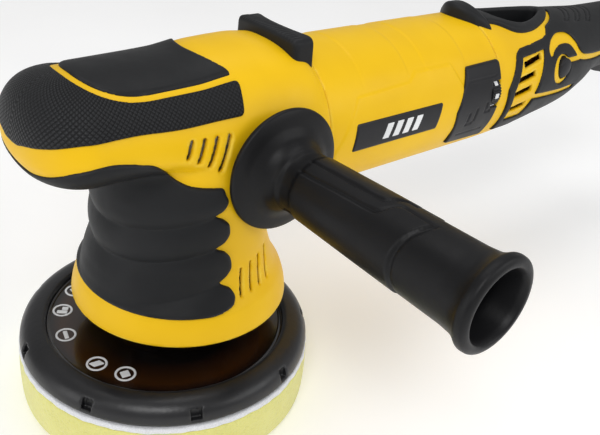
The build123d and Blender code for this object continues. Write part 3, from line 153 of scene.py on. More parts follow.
def surface_net(values, low, step):
    """Points and four-sided faces of the zero level of gridded values."""
    shape = tuple(n - 1 for n in values.shape)
    inside = values < 0
    total = np.zeros(shape + (3,), np.float32)
    hits = np.zeros(shape, np.int8)

    def at(corner):
        return tuple(slice(c, c + n) for c, n in zip(corner, shape))

    for axis in range(3):
        others = [k for k in range(3) if k != axis]
        for u in (0, 1):
            for v in (0, 1):
                start = [0, 0, 0]
                start[others[0]], start[others[1]] = u, v
                end = list(start)
                end[axis] = 1
                a, b = values[at(start)], values[at(end)]
                cross = (a < 0) != (b < 0)
                t = a[cross] / (a[cross] - b[cross])
                hits[cross] += 1
                for k in range(3):
                    total[..., k][cross] += t if k == axis else start[k]
    active = hits > 0
    index = np.full(shape, -1, np.int64)
    index[active] = np.arange(active.sum())
    points = np.array(low) + step * (np.argwhere(active) + total[active] / hits[active][:, None])
    faces = []
    unit = np.eye(3, dtype=int)
    for axis in range(3):
        eu, ev = unit[(axis + 1) % 3], unit[(axis + 2) % 3]
        here = [slice(1, n) for n in shape]
        here[axis] = slice(0, shape[axis])
        ahead = list(here)
        ahead[axis] = slice(1, shape[axis] + 1)
        a, b = inside[tuple(here)], inside[tuple(ahead)]
        where = np.argwhere(a != b)
        flip = b[tuple(where.T)]
        p = where + (1 - unit[axis])
        quad = np.stack([index[tuple((p - eu - ev).T)], index[tuple((p - ev).T)],
                         index[tuple(p.T)], index[tuple((p - eu).T)]], 1)
        quad[flip] = quad[flip][:, ::-1]
        faces.append(quad)
    return points, np.concatenate(faces)


def settle(points, field, step, rounds=3):
    """Points moved onto the field's zero level."""
    h = 0.2 * step
    for _ in range(rounds):
        x, y, z = points.T
        f = field(x, y, z)
        g = np.stack([field(x + h, y, z) - field(x - h, y, z),
                      field(x, y + h, z) - field(x, y - h, z),
                      field(x, y, z + h) - field(x, y, z - h)], 1) / (2 * h)
        move = -(f / np.maximum((g * g).sum(1), 0.2))[:, None] * g
        size = np.linalg.norm(move, axis=1)
        points = points + move * np.minimum(1, 0.5 * step / np.maximum(size, 1e-9))[:, None]
    return points


def make(name, points, faces, material, body, replaced=()):
    """A smooth piece from points in millimetres and four-sided faces, riding on a body."""
    points = np.asarray(points, np.float32) * MM
    mesh = bpy.data.meshes.new(name)
    count, sides = faces.shape
    mesh.vertices.add(len(points))
    mesh.vertices.foreach_set("co", points.ravel())
    mesh.loops.add(count * sides)
    mesh.loops.foreach_set("vertex_index", faces.astype(np.int32).ravel())
    mesh.polygons.add(count)
    mesh.polygons.foreach_set("loop_start", np.arange(0, count * sides, sides, dtype=np.int32))
    mesh.update(calc_edges=True)
    mesh.validate()
    mesh.polygons.foreach_set("use_smooth", np.full(len(mesh.polygons), True))
    mesh.materials.append(material)
    piece = bpy.data.objects.new(name, mesh)
    bpy.context.scene.collection.objects.link(piece)
    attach(piece, body)
    if replaced:
        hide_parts(*replaced)
    return piece


def carve(name, field, low, high, step, material, body, replaced=()):
    """A piece that is the inside of a distance field."""
    values = sample(field, low, high, step)
    points, faces = surface_net(values, low, step)
    return make(name, settle(points, field, step), faces, material, body, replaced)


def turned(name, axis_point, axis, start, profile, around, material, body, replaced=(), shape=None):
    """A closed piece turned about an axis. profile holds (along, radius); shape may change the radius."""
    axis, start = np.array(axis, float), np.array(start, float)
    side = np.cross(axis, start)
    along = np.array([p[0] for p in profile], float)
    radius = np.array([p[1] for p in profile], float)
    angle = np.arange(around) * 2 * np.pi / around
    a, t = np.meshgrid(along, angle, indexing="ij")
    r = np.repeat(radius[:, None], around, 1)
    if shape is not None:
        r = shape(a, t, r)
    points = (np.array(axis_point) + a[..., None] * axis
              + r[..., None] * (np.cos(t)[..., None] * start + np.sin(t)[..., None] * side))
    rows = len(profile)
    i, j = np.meshgrid(np.arange(rows), np.arange(around), indexing="ij")
    k = (j + 1) % around
    n = (i + 1) % rows
    faces = np.stack([i * around + j, i * around + k, n * around + k, n * around + j], -1).reshape(-1, 4)
    return make(name, points.reshape(-1, 3), faces, material, body, replaced)


def fine(profile, length):
    """A closed profile with its long runs divided, so that it can be shaped."""
    out = []
    for (a0, r0), (a1, r1) in zip(profile, profile[1:] + profile[:1]):
        n = max(1, int(math.hypot(a1 - a0, r1 - r0) / length))
        for k in range(n):
            out.append((a0 + (a1 - a0) * k / n, r0 + (r1 - r0) * k / n))
    return out


def rounded(profile, cut, steps=4):
    """A closed profile with each corner turned into a short arc."""
    out = []
    n = len(profile)
    for i, p in enumerate(profile):
        p = np.array(p, float)
        before, after = np.array(profile[i - 1], float), np.array(profile[(i + 1) % n], float)
        la, lb = np.linalg.norm(before - p), np.linalg.norm(after - p)
        c = min(cut, la * 0.45, lb * 0.45)
        a, b = p + (before - p) / la * c, p + (after - p) / lb * c
        for k in range(steps + 1):
            t = k / steps
            out.append(tuple((1 - t) ** 2 * a + 2 * t * (1 - t) * p + t * t * b))
    return out


# ---------------------------------------------------------------- materials
def node_material(name):
    material = bpy.data.materials.new(name)
    material.use_nodes = True
    tree = material.node_tree
    shader = tree.nodes["Principled BSDF"]
    place = tree.nodes.new("ShaderNodeTexCoord").outputs["Object"]
    return material, tree, shader, place


def noise(tree, place, scale, detail=4.0, rough=0.6):
    made = tree.nodes.new("ShaderNodeTexNoise")
    made.inputs["Scale"].default_value = scale
    made.inputs["Detail"].default_value = detail
    made.inputs["Roughness"].default_value = rough
    tree.links.new(place, made.inputs["Vector"])
    return made.outputs["Fac"]


def colours(tree, value, stops):
    made = tree.nodes.new("ShaderNodeValToRGB")
    elements = made.color_ramp.elements
    while len(elements) < len(stops):
        elements.new(0.5)
    for element, (place, colour) in zip(elements, stops):
        element.position = place
        element.color = (*colour, 1)
    tree.links.new(value, made.inputs["Fac"])
    return made.outputs["Color"]


def span(tree, value, low, high, new_low, new_high):
    made = tree.nodes.new("ShaderNodeMapRange")
    for key, number in zip(("From Min", "From Max", "To Min", "To Max"), (low, high, new_low, new_high)):
        made.inputs[key].default_value = number
    tree.links.new(value, made.inputs["Value"])
    return made.outputs["Result"]


def maths(tree, kind, a, b=None):
    made = tree.nodes.new("ShaderNodeMath")
    made.operation = kind
    for socket, value in zip(made.inputs, (a, b)):
        if value is None:
            continue
        if isinstance(value, (int, float)):
            socket.default_value = value
        else:
            tree.links.new(value, socket)
    return made.outputs[0]


def bumps(tree, shader, heights):
    """A chain of bump nodes: each height is (value, strength, distance)."""
    last = None
    for value, strength, distance in heights:
        made = tree.nodes.new("ShaderNodeBump")
        made.inputs["Strength"].default_value = strength
        made.inputs["Distance"].default_value = distance
        tree.links.new(value, made.inputs["Height"])
        if last is not None:
            tree.links.new(last, made.inputs["Normal"])
        last = made.outputs["Normal"]
    tree.links.new(last, shader.inputs["Normal"])


def edge_wear(tree):
    """Bright where the surface turns over an edge."""
    point = tree.nodes.new("ShaderNodeNewGeometry").outputs["Pointiness"]
    return span(tree, point, 0.51, 0.56, 0.0, 1.0)


def moulded(name, dark, light, rough, grain=700.0, depth=0.00012, strength=0.25, specular=0.5, worn=None):
    """Moulded plastic or rubber: fine spark grain, soft colour drift, smears in its gloss, paler edges."""
    material, tree, shader, place = node_material(name)
    drift = noise(tree, place, 14.0, 3.0)
    base = colours(tree, drift, ((0.35, dark), (0.68, light)))
    if worn is not None:
        mix = tree.nodes.new("ShaderNodeMix")
        mix.data_type = "RGBA"
        rubbed = span(tree, noise(tree, place, 90.0, 5.0), 0.42, 0.62, 0, 1)
        wear = maths(tree, "MULTIPLY", edge_wear(tree), rubbed)
        tree.links.new(maths(tree, "MULTIPLY", wear, 0.5), mix.inputs["Factor"])
        tree.links.new(base, mix.inputs["A"])
        mix.inputs["B"].default_value = (*worn, 1)
        base = mix.outputs["Result"]
    tree.links.new(base, shader.inputs["Base Color"])
    smear = noise(tree, place, 45.0, 6.0, 0.7)
    tree.links.new(span(tree, smear, 0.3, 0.7, rough - 0.07, rough + 0.08), shader.inputs["Roughness"])
    shader.inputs["Specular IOR Level"].default_value = specular
    grain_value = noise(tree, place, grain, 3.0, 0.5)
    bumps(tree, shader, ((noise(tree, place, 120.0, 2.0), strength * 0.35, depth * 2),
                         (grain_value, strength, depth)))
    return material


def metal(name, dark, light, rough, grain=260.0, axis=None, depth=0.00004):
    """Machined or cast metal, with turning marks across an axis where one is given."""
    material, tree, shader, place = node_material(name)
    if axis is None:
        lines = noise(tree, place, grain, 6.0, 0.65)
    else:
        stretch = tree.nodes.new("ShaderNodeMapping")
        stretch.inputs["Scale"].default_value = tuple(6.0 if k == axis else 0.35 for k in range(3))
        tree.links.new(place, stretch.inputs["Vector"])
        lines = noise(tree, stretch.outputs["Vector"], grain, 4.0, 0.6)
    tree.links.new(colours(tree, lines, ((0.3, dark), (0.7, light))), shader.inputs["Base Color"])
    shader.inputs["Metallic"].default_value = 1.0
    tree.links.new(span(tree, noise(tree, place, 60.0, 5.0), 0.3, 0.7, rough - 0.08, rough + 0.1),
                   shader.inputs["Roughness"])
    bumps(tree, shader, ((lines, 0.4, depth),))
    return material


def grip_material(name):
    """Black rubber with the fine crossed pattern of small raised scales, its colour darker in the grooves
    between them as painted shade.
    """
    material, tree, shader, place = node_material(name)
    given = tree.nodes.new("ShaderNodeAttribute")
    given.attribute_name = "pattern"
    parts = tree.nodes.new("ShaderNodeSeparateXYZ")
    tree.links.new(given.outputs["Vector"], parts.inputs[0])
    one = maths(tree, "SINE", maths(tree, "ADD", parts.outputs["X"], parts.outputs["Y"]))
    two = maths(tree, "SINE", maths(tree, "SUBTRACT", parts.outputs["X"], parts.outputs["Y"]))
    cells = maths(tree, "MULTIPLY", maths(tree, "ABSOLUTE", one), maths(tree, "ABSOLUTE", two))
    cells = maths(tree, "POWER", cells, 0.45)
    drift = noise(tree, place, 20.0, 3.0)
    # painted shade: the colour ramp below darkens the grooves between the scales and leaves their tops
    # lighter
    painted_recess_shade = colours(tree, maths(tree, "MULTIPLY", cells, span(tree, drift, 0.3, 0.7, 0.8, 1.0)),
                    ((0.15, (0.0025, 0.0025, 0.003)), (0.95, (0.017, 0.018, 0.020))))
    tree.links.new(painted_recess_shade, shader.inputs["Base Color"])
    tree.links.new(span(tree, cells, 0.1, 0.9, 0.62, 0.40), shader.inputs["Roughness"])
    shader.inputs["Specular IOR Level"].default_value = 0.22
    bumps(tree, shader, ((cells, 0.7, 0.0006), (noise(tree, place, 900.0, 2.0), 0.15, 0.0001)))
    return material


def foam_material(name):
    """Open-cell polishing foam: small pores of two sizes, darkened in colour as painted shade, over a soft,
    uneven yellow.
    """
    material, tree, shader, place = node_material(name)
    pores = []
    for scale in (520.0, 1150.0):
        cell = tree.nodes.new("ShaderNodeTexVoronoi")
        cell.inputs["Scale"].default_value = scale
        tree.links.new(place, cell.inputs["Vector"])
        pores.append(cell.outputs["Distance"])
    depth = maths(tree, "ADD", pores[0], pores[1])
    tint = colours(tree, noise(tree, place, 30.0, 4.0),
                   ((0.3, (0.70, 0.67, 0.20)), (0.7, (0.78, 0.75, 0.27))))
    # painted shade: this multiply mix darkens the yellow inside the pores
    painted_recess_shade = tree.nodes.new("ShaderNodeMix")
    painted_recess_shade.data_type = "RGBA"
    painted_recess_shade.blend_type = "MULTIPLY"
    painted_recess_shade.inputs["Factor"].default_value = 1.0
    tree.links.new(tint, painted_recess_shade.inputs["A"])
    tree.links.new(colours(tree, depth, ((0.25, (0.86, 0.85, 0.80)), (0.75, (1, 1, 1)))), painted_recess_shade.inputs["B"])
    tree.links.new(painted_recess_shade.outputs["Result"], shader.inputs["Base Color"])
    shader.inputs["Roughness"].default_value = 0.95
    shader.inputs["Sheen Weight"].default_value = 0.25
    shader.inputs["Subsurface Weight"].default_value = 0.15
    shader.inputs["Subsurface Radius"].default_value = (0.004, 0.003, 0.001)
    bumps(tree, shader, ((depth, 0.5, 0.0006), (noise(tree, place, 60.0, 3.0), 0.25, 0.001)))
    return material


def loop_material(name):
    """Brushed loop cloth: short fibres lying in every direction."""
    material, tree, shader, place = node_material(name)
    fibres = noise(tree, place, 1500.0, 6.0, 0.75)
    tree.links.new(colours(tree, fibres, ((0.3, (0.62, 0.63, 0.66)), (0.65, (0.88, 0.89, 0.92)))),
                   shader.inputs["Base Color"])
    shader.inputs["Roughness"].default_value = 0.9
    shader.inputs["Sheen Weight"].default_value = 0.5
    bumps(tree, shader, ((fibres, 0.7, 0.0006), (noise(tree, place, 200.0, 3.0), 0.4, 0.0008)))
    return material


def smoked_disc_material(name):
    """The glossy dark plate face: almost black, with a painted warm amber reflection in a ring near the rim.
    """
    material, tree, shader, place = node_material(name)
    parts = tree.nodes.new("ShaderNodeSeparateXYZ")
    tree.links.new(place, parts.inputs[0])
    dx = maths(tree, "SUBTRACT", parts.outputs["X"], PAD_X * MM)
    radius = maths(tree, "SQRT", maths(tree, "ADD", maths(tree, "MULTIPLY", dx, dx),
                                       maths(tree, "MULTIPLY", parts.outputs["Y"], parts.outputs["Y"])))
    # painted reflection: a warm amber ring near the rim, placed by radius from the pad's centre and wobbled
    # by noise
    wobble = maths(tree, "MULTIPLY", noise(tree, place, 25.0, 3.0), 0.006)
    painted_amber_reflection = ((0.52, (0.003, 0.002, 0.002)), (0.71, (0.030, 0.010, 0.002)), (0.78, (0.005, 0.003, 0.003)))
    tint = colours(tree, span(tree, maths(tree, "ADD", radius, wobble), 0.0, 0.08, 0.0, 1.0), painted_amber_reflection)
    tree.links.new(tint, shader.inputs["Base Color"])
    shader.inputs["Specular IOR Level"].default_value = 0.6
    shader.inputs["Coat Weight"].default_value = 0.4
    shader.inputs["Coat Roughness"].default_value = 0.06
    smear = noise(tree, place, 70.0, 5.0)
    tree.links.new(span(tree, smear, 0.3, 0.7, 0.14, 0.26), shader.inputs["Roughness"])
    bumps(tree, shader, ((noise(tree, place, 35.0, 2.0), 0.15, 0.0004),
                         (noise(tree, place, 1400.0, 2.0), 0.05, 0.00005)))
    return material


yellow = moulded("yellow_shell_look", (0.81, 0.48, 0.003), (0.88, 0.54, 0.005), 0.42, grain=900.0,
                 depth=0.00010, strength=0.22, specular=0.22, worn=(0.95, 0.74, 0.12))
rubber = moulded("rubber_look", (0.008, 0.0085, 0.0095), (0.0125, 0.0132, 0.0145), 0.52, grain=1100.0,
                 depth=0.00012, strength=0.3, specular=0.22, worn=(0.05, 0.05, 0.055))
black = moulded("black_plastic_look", (0.009, 0.009, 0.0105), (0.015, 0.015, 0.018), 0.42, grain=800.0,
                depth=0.00010, strength=0.3, specular=0.24, worn=(0.06, 0.06, 0.06))
handle_black = moulded("handle_black_look", (0.004, 0.004, 0.0045), (0.008, 0.008, 0.009), 0.42, grain=620.0,
                       depth=0.00014, strength=0.4, specular=0.2, worn=(0.035, 0.035, 0.038))
plate_rubber = moulded("plate_rubber_look", (0.006, 0.006, 0.007), (0.014, 0.014, 0.016), 0.36, grain=420.0,
                       depth=0.00020, strength=0.45, specular=0.45, worn=(0.05, 0.05, 0.05))
white_print = moulded("white_print_look", (0.70, 0.71, 0.72), (0.84, 0.85, 0.86), 0.45, grain=1500.0,
                      depth=0.00004, strength=0.2)
grip_rubber = grip_material("grip_rubber_look")
foam = foam_material("foam_look")
loop_cloth = loop_material("loop_look")
smoked = smoked_disc_material("smoked_disc_look")
hook_black = moulded("hook_look", (0.008, 0.008, 0.008), (0.03, 0.03, 0.03), 0.8, grain=1800.0, depth=0.0005,
                     strength=0.8)
steel = metal("steel_look", (0.42, 0.42, 0.44), (0.66, 0.66, 0.68), 0.28)
dark_steel = metal("dark_steel_look", (0.06, 0.06, 0.065), (0.14, 0.14, 0.15), 0.5)
aluminium = metal("aluminium_look", (0.40, 0.41, 0.42), (0.62, 0.63, 0.65), 0.48, grain=420.0, depth=0.0001)
laminations = metal("laminations_look", (0.22, 0.22, 0.24), (0.46, 0.46, 0.48), 0.4, grain=420.0, axis=0)
copper = metal("copper_look", (0.45, 0.16, 0.05), (0.80, 0.36, 0.14), 0.32, grain=500.0, axis=1)
brass = metal("brass_look", (0.50, 0.34, 0.10), (0.78, 0.58, 0.24), 0.30)
carbon = moulded("carbon_look", (0.02, 0.02, 0.02), (0.05, 0.05, 0.05), 0.6, grain=1500.0)
board = moulded("board_look", (0.01, 0.12, 0.05), (0.02, 0.20, 0.08), 0.35, grain=300.0)

SLOT_LOOK = {
    "yellow_shell": yellow, "black_rubber": rubber, "black_plastic": black, "gloss_black": smoked,
    "pad_foam": foam, "loop_white": loop_cloth, "hook_black": hook_black, "cast_aluminium": aluminium,
    "steel": steel, "dark_steel": dark_steel, "laminations": laminations, "copper": copper,
    "carbon": carbon, "brass": brass, "board_green": board,
}
for row in frame["record"]["subparts"]:
    solid = frame["nodes"][row["node"]]
    solid.data.materials.clear()
    solid.data.materials.append(SLOT_LOOK[row["material_slot"]])

# ---------------------------------------------------------------- the head: hood and neck
HOOD_WIDTH = ((-57, 36.5), (-30, 38), (0, 40), (26, 41.5), (45, 41), (58, 40))
HOOD_MIDDLE = ((-57, 152), (-30, 150), (-5, 144), (15, 139), (40, 138), (58, 138))
HOOD_TOP = ((-57, 180), (-30, 180.5), (-10, 181.5), (10, 184.5), (26, 185), (42, 183), (50, 182), (58, 178.5))
HOOD_BOTTOM = ((-57, 137), (-30, 137), (-15, 132), (0, 118), (15, 102), (30, 98), (58, 98))
NOSE_START, NOSE_LENGTH, NOSE_POWER = -57.0, 24.0, 2.45
HOOD_POWER = ((-57, 2.1), (24, 2.1), (42, 2.4), (52, 2.35), (58, 2.1))
NECK = ((56.3, 55.1), (61, 54.6), (69, 52.2), (76, 48), (83, 45.2), (92, 43), (120, 42), (136, 39.5),
        (150, 34))
SKIRT_FOOT_Z = 56.3
HEAD_END_X = 57.8


def hood(x, y, z):
    """Egg-shaped sections along X, closed by a rounded nose."""
    middle = curve(x, HOOD_MIDDLE)
    high = np.where(z > middle, curve(x, HOOD_TOP) - middle, middle - curve(x, HOOD_BOTTOM))
    power = curve(x, HOOD_POWER)
    ahead = np.maximum(NOSE_START - x, 0)
    wide = curve(x, HOOD_WIDTH)
    section = (np.abs(y / wide) ** power + np.abs((z - middle) / high) ** power) ** (1 / power)
    f = (section ** NOSE_POWER + (ahead / NOSE_LENGTH) ** NOSE_POWER) ** (1 / NOSE_POWER)
    return (f - 1) * np.sqrt(y * y + (z - middle) ** 2 + ahead ** 2) / np.maximum(f, 1e-6)


def neck(x, y, z):
    return smooth_max(np.hypot(x, y) - curve(z, NECK), z - 148, 6)


def head(x, y, z):
    return smooth_min(hood(x, y, z), neck(x, y, z), 12 - 8 * ramp(z, 122, 146))


def slot_cut(u, v, centre, length, width, turn):
    """Signed distance to a round-ended slot."""
    c, s = math.cos(turn), math.sin(turn)
    du, dv = u - centre[0], v - centre[1]
    along, across = du * c + dv * s, -du * s + dv * c
    return np.hypot(np.maximum(np.abs(along) - length / 2 + width / 2, 0), across) - width / 2


HEAD_VENTS = [((-21.3 + 5.85 * k, 152.8 - 1.6 * k), 9 + 2.9 * k) for k in range(4)]
SKIRT_VENTS = [((4.5 + 6.6 * k, 80.6 + 0.5 * k), 13.6 + 0.6 * k) for k in range(4)]
HEAD_VENT_WIDTH, HEAD_VENT_TURN = 2.3, math.radians(71)
SKIRT_VENT_WIDTH, SKIRT_VENT_TURN = 1.7, math.radians(78)
BOSS_HOLE_RADIUS = 9.4


def head_shell(x, y, z):
    outer = head(x, y, z)
    f = smooth_max(outer, x - HEAD_END_X, 0.6)
    f = smooth_max(f, SKIRT_FOOT_Z - z, 1.0)
    f = smooth_max(f, -(outer + WALL), 0.5)
    for centre, length in HEAD_VENTS:
        cut = slot_cut(x, z, centre, length, HEAD_VENT_WIDTH, HEAD_VENT_TURN)
        f = smooth_max(f, -np.maximum(cut, 30 - np.abs(y)), 0.5)
    for centre, length in SKIRT_VENTS:
        cut = slot_cut(x, z, centre, length, SKIRT_VENT_WIDTH, SKIRT_VENT_TURN)
        f = smooth_max(f, -np.maximum(cut, 26 - np.abs(y)), 0.4)
    boss = np.hypot(x - HANDLE_X, z - HANDLE_Z) - BOSS_HOLE_RADIUS
    return smooth_max(f, -np.maximum(boss, 30 - np.abs(y)), 0.6)


carve("head_shell_skin", head_shell, (-84, -58, 54), (60, 58, 188), 1.0, yellow, "root",
      ("head_shell", "neck_skirt"))

GRIP_LOW = ((0, 154.6), (8, 154.9), (14, 156.1), (27, 158.1), (36, 159.7), (58, 162.8), (89, 163.1),
            (125, 162.1), (145, 162.4))
TOP_CENTRE_X = -30.0


def around_nose(x, y):
    """Angle in degrees about the middle of the nose: 0 at the tip, 90 abreast."""
    return np.degrees(np.arctan2(np.abs(y), -(x + 45)))


def plan_oval(x, y, half_length, half_width):
    """Signed distance, in plan, to a shape with a round front and straight sides."""
    front = np.maximum(TOP_CENTRE_X - x, 0) / half_length
    f = (front ** 2.5 + np.abs(y / half_width) ** 2.5) ** 0.4
    return (f - 1) * half_width


def nose_grip(x, y, z):
    outer = head(x, y, z)
    region = curve(around_nose(x, y), GRIP_LOW) - z
    region = smooth_max(region, -plan_oval(x, y, 30.0, 26.2), 0.8)
    region = smooth_max(region, x - 7.5 - 0.2 * (z - 163), 2.5)
    f = smooth_max(outer - 1.1, region, 1.6)
    return smooth_max(f, -(outer + 0.8), 0.4)


nose = carve("nose_grip_skin", nose_grip, (-85, -44, 150), (14, 44, 186), 0.8, grip_rubber, "root",
             ("nose_grip",))
co = np.zeros(len(nose.data.vertices) * 3, np.float32)
nose.data.vertices.foreach_get("co", co)
co = co.reshape(-1, 3) / MM
bend = np.arctan2(np.abs(co[:, 1]), np.maximum(-50 - co[:, 0], 1e-3))
along = np.where(co[:, 0] > -50, co[:, 0], -50 - 30 * (np.pi / 2 - bend))
out = np.where(co[:, 0] > -50, np.abs(co[:, 1]), np.hypot(co[:, 1], co[:, 0] + 50))
rise = 36 * np.arctan2(co[:, 2] - 148, out)
pattern = np.stack([along * 1.45, rise * 1.45, np.zeros(len(co))], 1).astype(np.float32)
layer = nose.data.attributes.new("pattern", "FLOAT_VECTOR", "POINT")
layer.data.foreach_set("vector", pattern.ravel())


def top_pad(x, y, z):
    outer = head(x, y, z)
    region = smooth_max(plan_oval(x, y, 26.8, 23.7), x - (-1.7 + 9.3 * (np.abs(y) / 22.4) ** 1.9), 2.5)
    region = np.maximum(region, 150 - z)
    f = smooth_max(outer - 1.2, region, 1.6)
    return smooth_max(f, -(outer + 0.8), 0.4)


carve("top_pad_skin", top_pad, (-62, -30, 160), (14, 30, 188), 0.8, rubber, "root",
      ("top_pad",))

BOOT_TOP_NOSE = ((0, 143.6), (13, 144.1), (26, 146), (35, 147.8), (45, 150.5), (53, 152.6), (69, 154.4),
                 (86, 152.7), (99, 150.3))
BOOT_TOP_SIDE = ((-47.3, 152.7), (-39, 150.3), (-30.9, 144.1), (-23.5, 136.8), (-18.5, 134.2), (-10.7, 132.9),
                 (-3, 132.3))
CREASES = (84.1, 102.3, 119.3)
CREASE_TILT = 0.28
BOOT_EDGE = ((70, -16), (72, -8), (74, -2.4), (77, -1.0), (80.5, -2.4), (CREASES[0], -7.0), (87.5, -2.8),
             (91, -0.8), (96, -1.6), (99.5, -4), (CREASES[1], -8.2), (105.5, -4), (110, -2.4), (114, -2.8),
             (117, -5.4), (CREASES[2], -8.8), (122, -5), (126, -3.2), (130, -4.5))


def boot_depth(x, y, z):
    """How far the boot stands out from the neck: soft rolls with narrow creases between them."""
    level = z - CREASE_TILT * (x + 8)
    gap = np.full(np.shape(level), 99.0)
    for crease in CREASES:
        gap = np.minimum(gap, np.abs(level - crease))
    roll = 1.0 + 1.8 * (1 - (1 - np.clip(gap / 8.5, 0, 1)) ** 2.1)
    gone = ramp(z, 122, 138)
    foot = 1 - ramp(z, 70, 80)
    return roll * (1 - gone) * (1 - 0.15 * foot) + 1.3 * gone


def boot(x, y, z):
    outer = head(x, y, z)
    nose_part = ramp(-x, 38, 46)
    top = nose_part * curve(around_nose(x, y), BOOT_TOP_NOSE) + (1 - nose_part) * curve(x, BOOT_TOP_SIDE)
    region = z - top
    region = smooth_max(region, x - curve(z, BOOT_EDGE), 2.5)
    region = smooth_max(region, 70.6 - z, 1.5)
    f = smooth_max(outer - boot_depth(x, y, z), region, 2.4)
    return smooth_max(f, -(outer + 0.8), 0.4)


carve("boot_skin", boot, (-84, -54, 66), (4, 54, 160), 0.75, rubber, "root", ("ribbed_boot",))


def front_bumper(x, y, z):
    outer = head(x, y, z)
    ribs = 0.25 * np.cos(y * 2 * np.pi / 2.0) * ramp(z, 184.5, 186.5) * ramp(3.4 - np.abs(x - 46.8), 0, 0.8)
    length = np.abs(x - 47.6 - 0.008 * y * y) - 5.4 - 0.004 * y * y
    f = smooth_max(length, z + ribs - 188.2 + 0.003 * y * y, 2.6)
    f = smooth_max(f, np.abs(y) - 23.4 + 0.05 * (z - 176), 3.2)
    return smooth_max(f, -(outer + 1.0), 0.4)


carve("front_bumper_skin", front_bumper, (36, -32, 166), (56, 32, 192), 0.5, rubber, "root",
      ("front_bumper",))

# ---------------------------------------------------------------- the motor barrel
PANEL = [(64, 132), (79, 156), (117, 157.5), (123, 161.5), (150, 161.5), (157, 150), (152, 112), (66, 112)]
NAME = [(76.3, 144.8), (139.2, 144.8), (136.6, 132.4), (74.8, 132.4)]
COVER = [(164, 159.2), (190.8, 159.6), (190.4, 137), (188.8, 115.8), (158.5, 116.8), (155.8, 137)]
COVER_LINES = ((153.5, 12.5), (121.5, 11.5))
COVER_MARKS = ((166.5, 131, 0.8, 4), (169.5, 128, 2.2, 0.8), (172.5, 133, 0.8, 4), (180.5, 136, 0.8, 3),
               (183, 133.5, 2.0, 0.8))


def barrel(x, y, z):
    return np.hypot(y, z - MOTOR_Z) - BARREL_RADIUS


def barrel_outer(x, y, z):
    raised = 0.7 * (1 - ramp(patch(x, z, PANEL, 2.0), -0.7, 0.7)) * (np.abs(y) > 10)
    bands = 0.35 * (ramp(x, 84, 85.2) - ramp(x, 116.5, 117.7) + ramp(x, 131, 132.2) - ramp(x, 163, 164.2))
    return barrel(x, y, z) - raised - bands * ramp(z, 158, 166)


def motor_shell(x, y, z):
    outer = barrel_outer(x, y, z)
    f = smooth_max(outer, 58.4 - x, 0.6)
    f = smooth_max(f, x - 192.9, 0.6)
    f = smooth_max(f, -(barrel(x, y, z) + WALL), 0.4)
    dial = np.maximum(np.maximum(np.abs(z - DIAL_Z) - 9, 183.5 - x), y + 20)
    return smooth_max(f, -dial, 0.4)


carve("motor_shell_skin", motor_shell, (56, -43, 95), (195, 43, 182), 1.0, yellow, "root",
      ("motor_housing",))


def on_side(side, base, outline, rounding, height, low=0.6, edge=0.9):
    """A field for a plate on one side of the body, standing on the base surface."""
    def field(x, y, z):
        f = smooth_max(base(x, y, z) - height, patch(x, z, outline, rounding), edge)
        f = smooth_max(f, -(base(x, y, z) + low), 0.3)
        return np.maximum(f, 15 - side * y)
    return field


DIAL_WINDOW_Z, DIAL_WINDOW_HALF = 142.9, 7.9
BARS = [[(94 + 7.5 * k, 134.6), (98.5 + 7.5 * k, 134.6), (101.5 + 7.5 * k, 142.6), (97 + 7.5 * k, 142.6)]
        for k in range(4)]
for side, word in ((LEFT, "left"), (RIGHT, "right")):
    low_y, high_y = sorted((side * 20, side * 44))
    carve(f"name_plate_{word}", on_side(side, barrel, NAME, 1.2, 1.35, low=0.2), (70, low_y, 126),
          (146, high_y, 152), 0.6, black, "root", ("name_plates",))

    def bars(x, y, z, side=side):
        d = np.minimum.reduce([patch(x, z, bar, 0.1) for bar in BARS])
        f = smooth_max(barrel(x, y, z) - 1.55, d, 0.3)
        return np.maximum(np.maximum(f, -(barrel(x, y, z) - 0.9)), 15 - side * y)

    carve(f"name_plate_bars_{word}", bars, (90, low_y, 130), (130, high_y, 148), 0.4, white_print, "root")

    def cover(x, y, z, side=side):
        base = barrel(x, y, z)
        f = smooth_max(base - 1.6, patch(x, z, COVER, 1.6), 1.0)
        lean = x - 0.1 * (z - 137)
        for level, half in COVER_LINES:
            line = np.maximum(np.abs(z - level) - 0.45, np.abs(lean - 174) - half)
            f = f + 0.45 * (1 - ramp(line, -0.3, 0.5))
        for cx, cz, hx, hz in COVER_MARKS:
            mark = np.maximum(np.abs(lean - cx) - hx, np.abs(z - cz) - hz)
            f = f + 0.5 * (1 - ramp(mark, -0.3, 0.5))
        if side == LEFT:
            f = smooth_max(f, -np.maximum(np.abs(z - DIAL_WINDOW_Z) - DIAL_WINDOW_HALF, 184.2 - x), 0.5)
        f = smooth_max(f, -(base + 0.2), 0.3)
        return np.maximum(f, 12 - side * y)

    carve(f"side_cover_{word}_skin", cover, (151, low_y, 108), (195, high_y, 168), 0.6, black, "root",
          (f"side_cover_{word}",))

# ---------------------------------------------------------------- the rear housing
REAR_MIDDLE = ((SEAM_X, MOTOR_Z), (225, 136.4), (262, 135.8), (290, 136.6), (315, 139.4), (338, 144.8),
               (370, INLET_Z), (425, INLET_Z))
REAR_WIDTH = ((SEAM_X, BARREL_RADIUS), (225, 39.4), (262, 36), (290, 32), (315, 27), (338, 23), (370, 21.5),
              (405, 21.5), (425, 19.5))
REAR_HEIGHT = ((SEAM_X, BARREL_RADIUS), (225, 38.4), (262, 36.4), (290, 34.4), (315, 30), (338, 23.4),
               (370, 22), (405, 22), (425, 20))
REAR_BELLY = ((SEAM_X, BARREL_RADIUS), (215, 38), (235, 33.6), (262, 31), (290, 30), (315, 27.6), (338, 22.6),
              (370, 22), (405, 22), (425, 20))
REAR_START_X, REAR_END_X = 193.4, 424.8
RECESS_FLOOR = 161.0


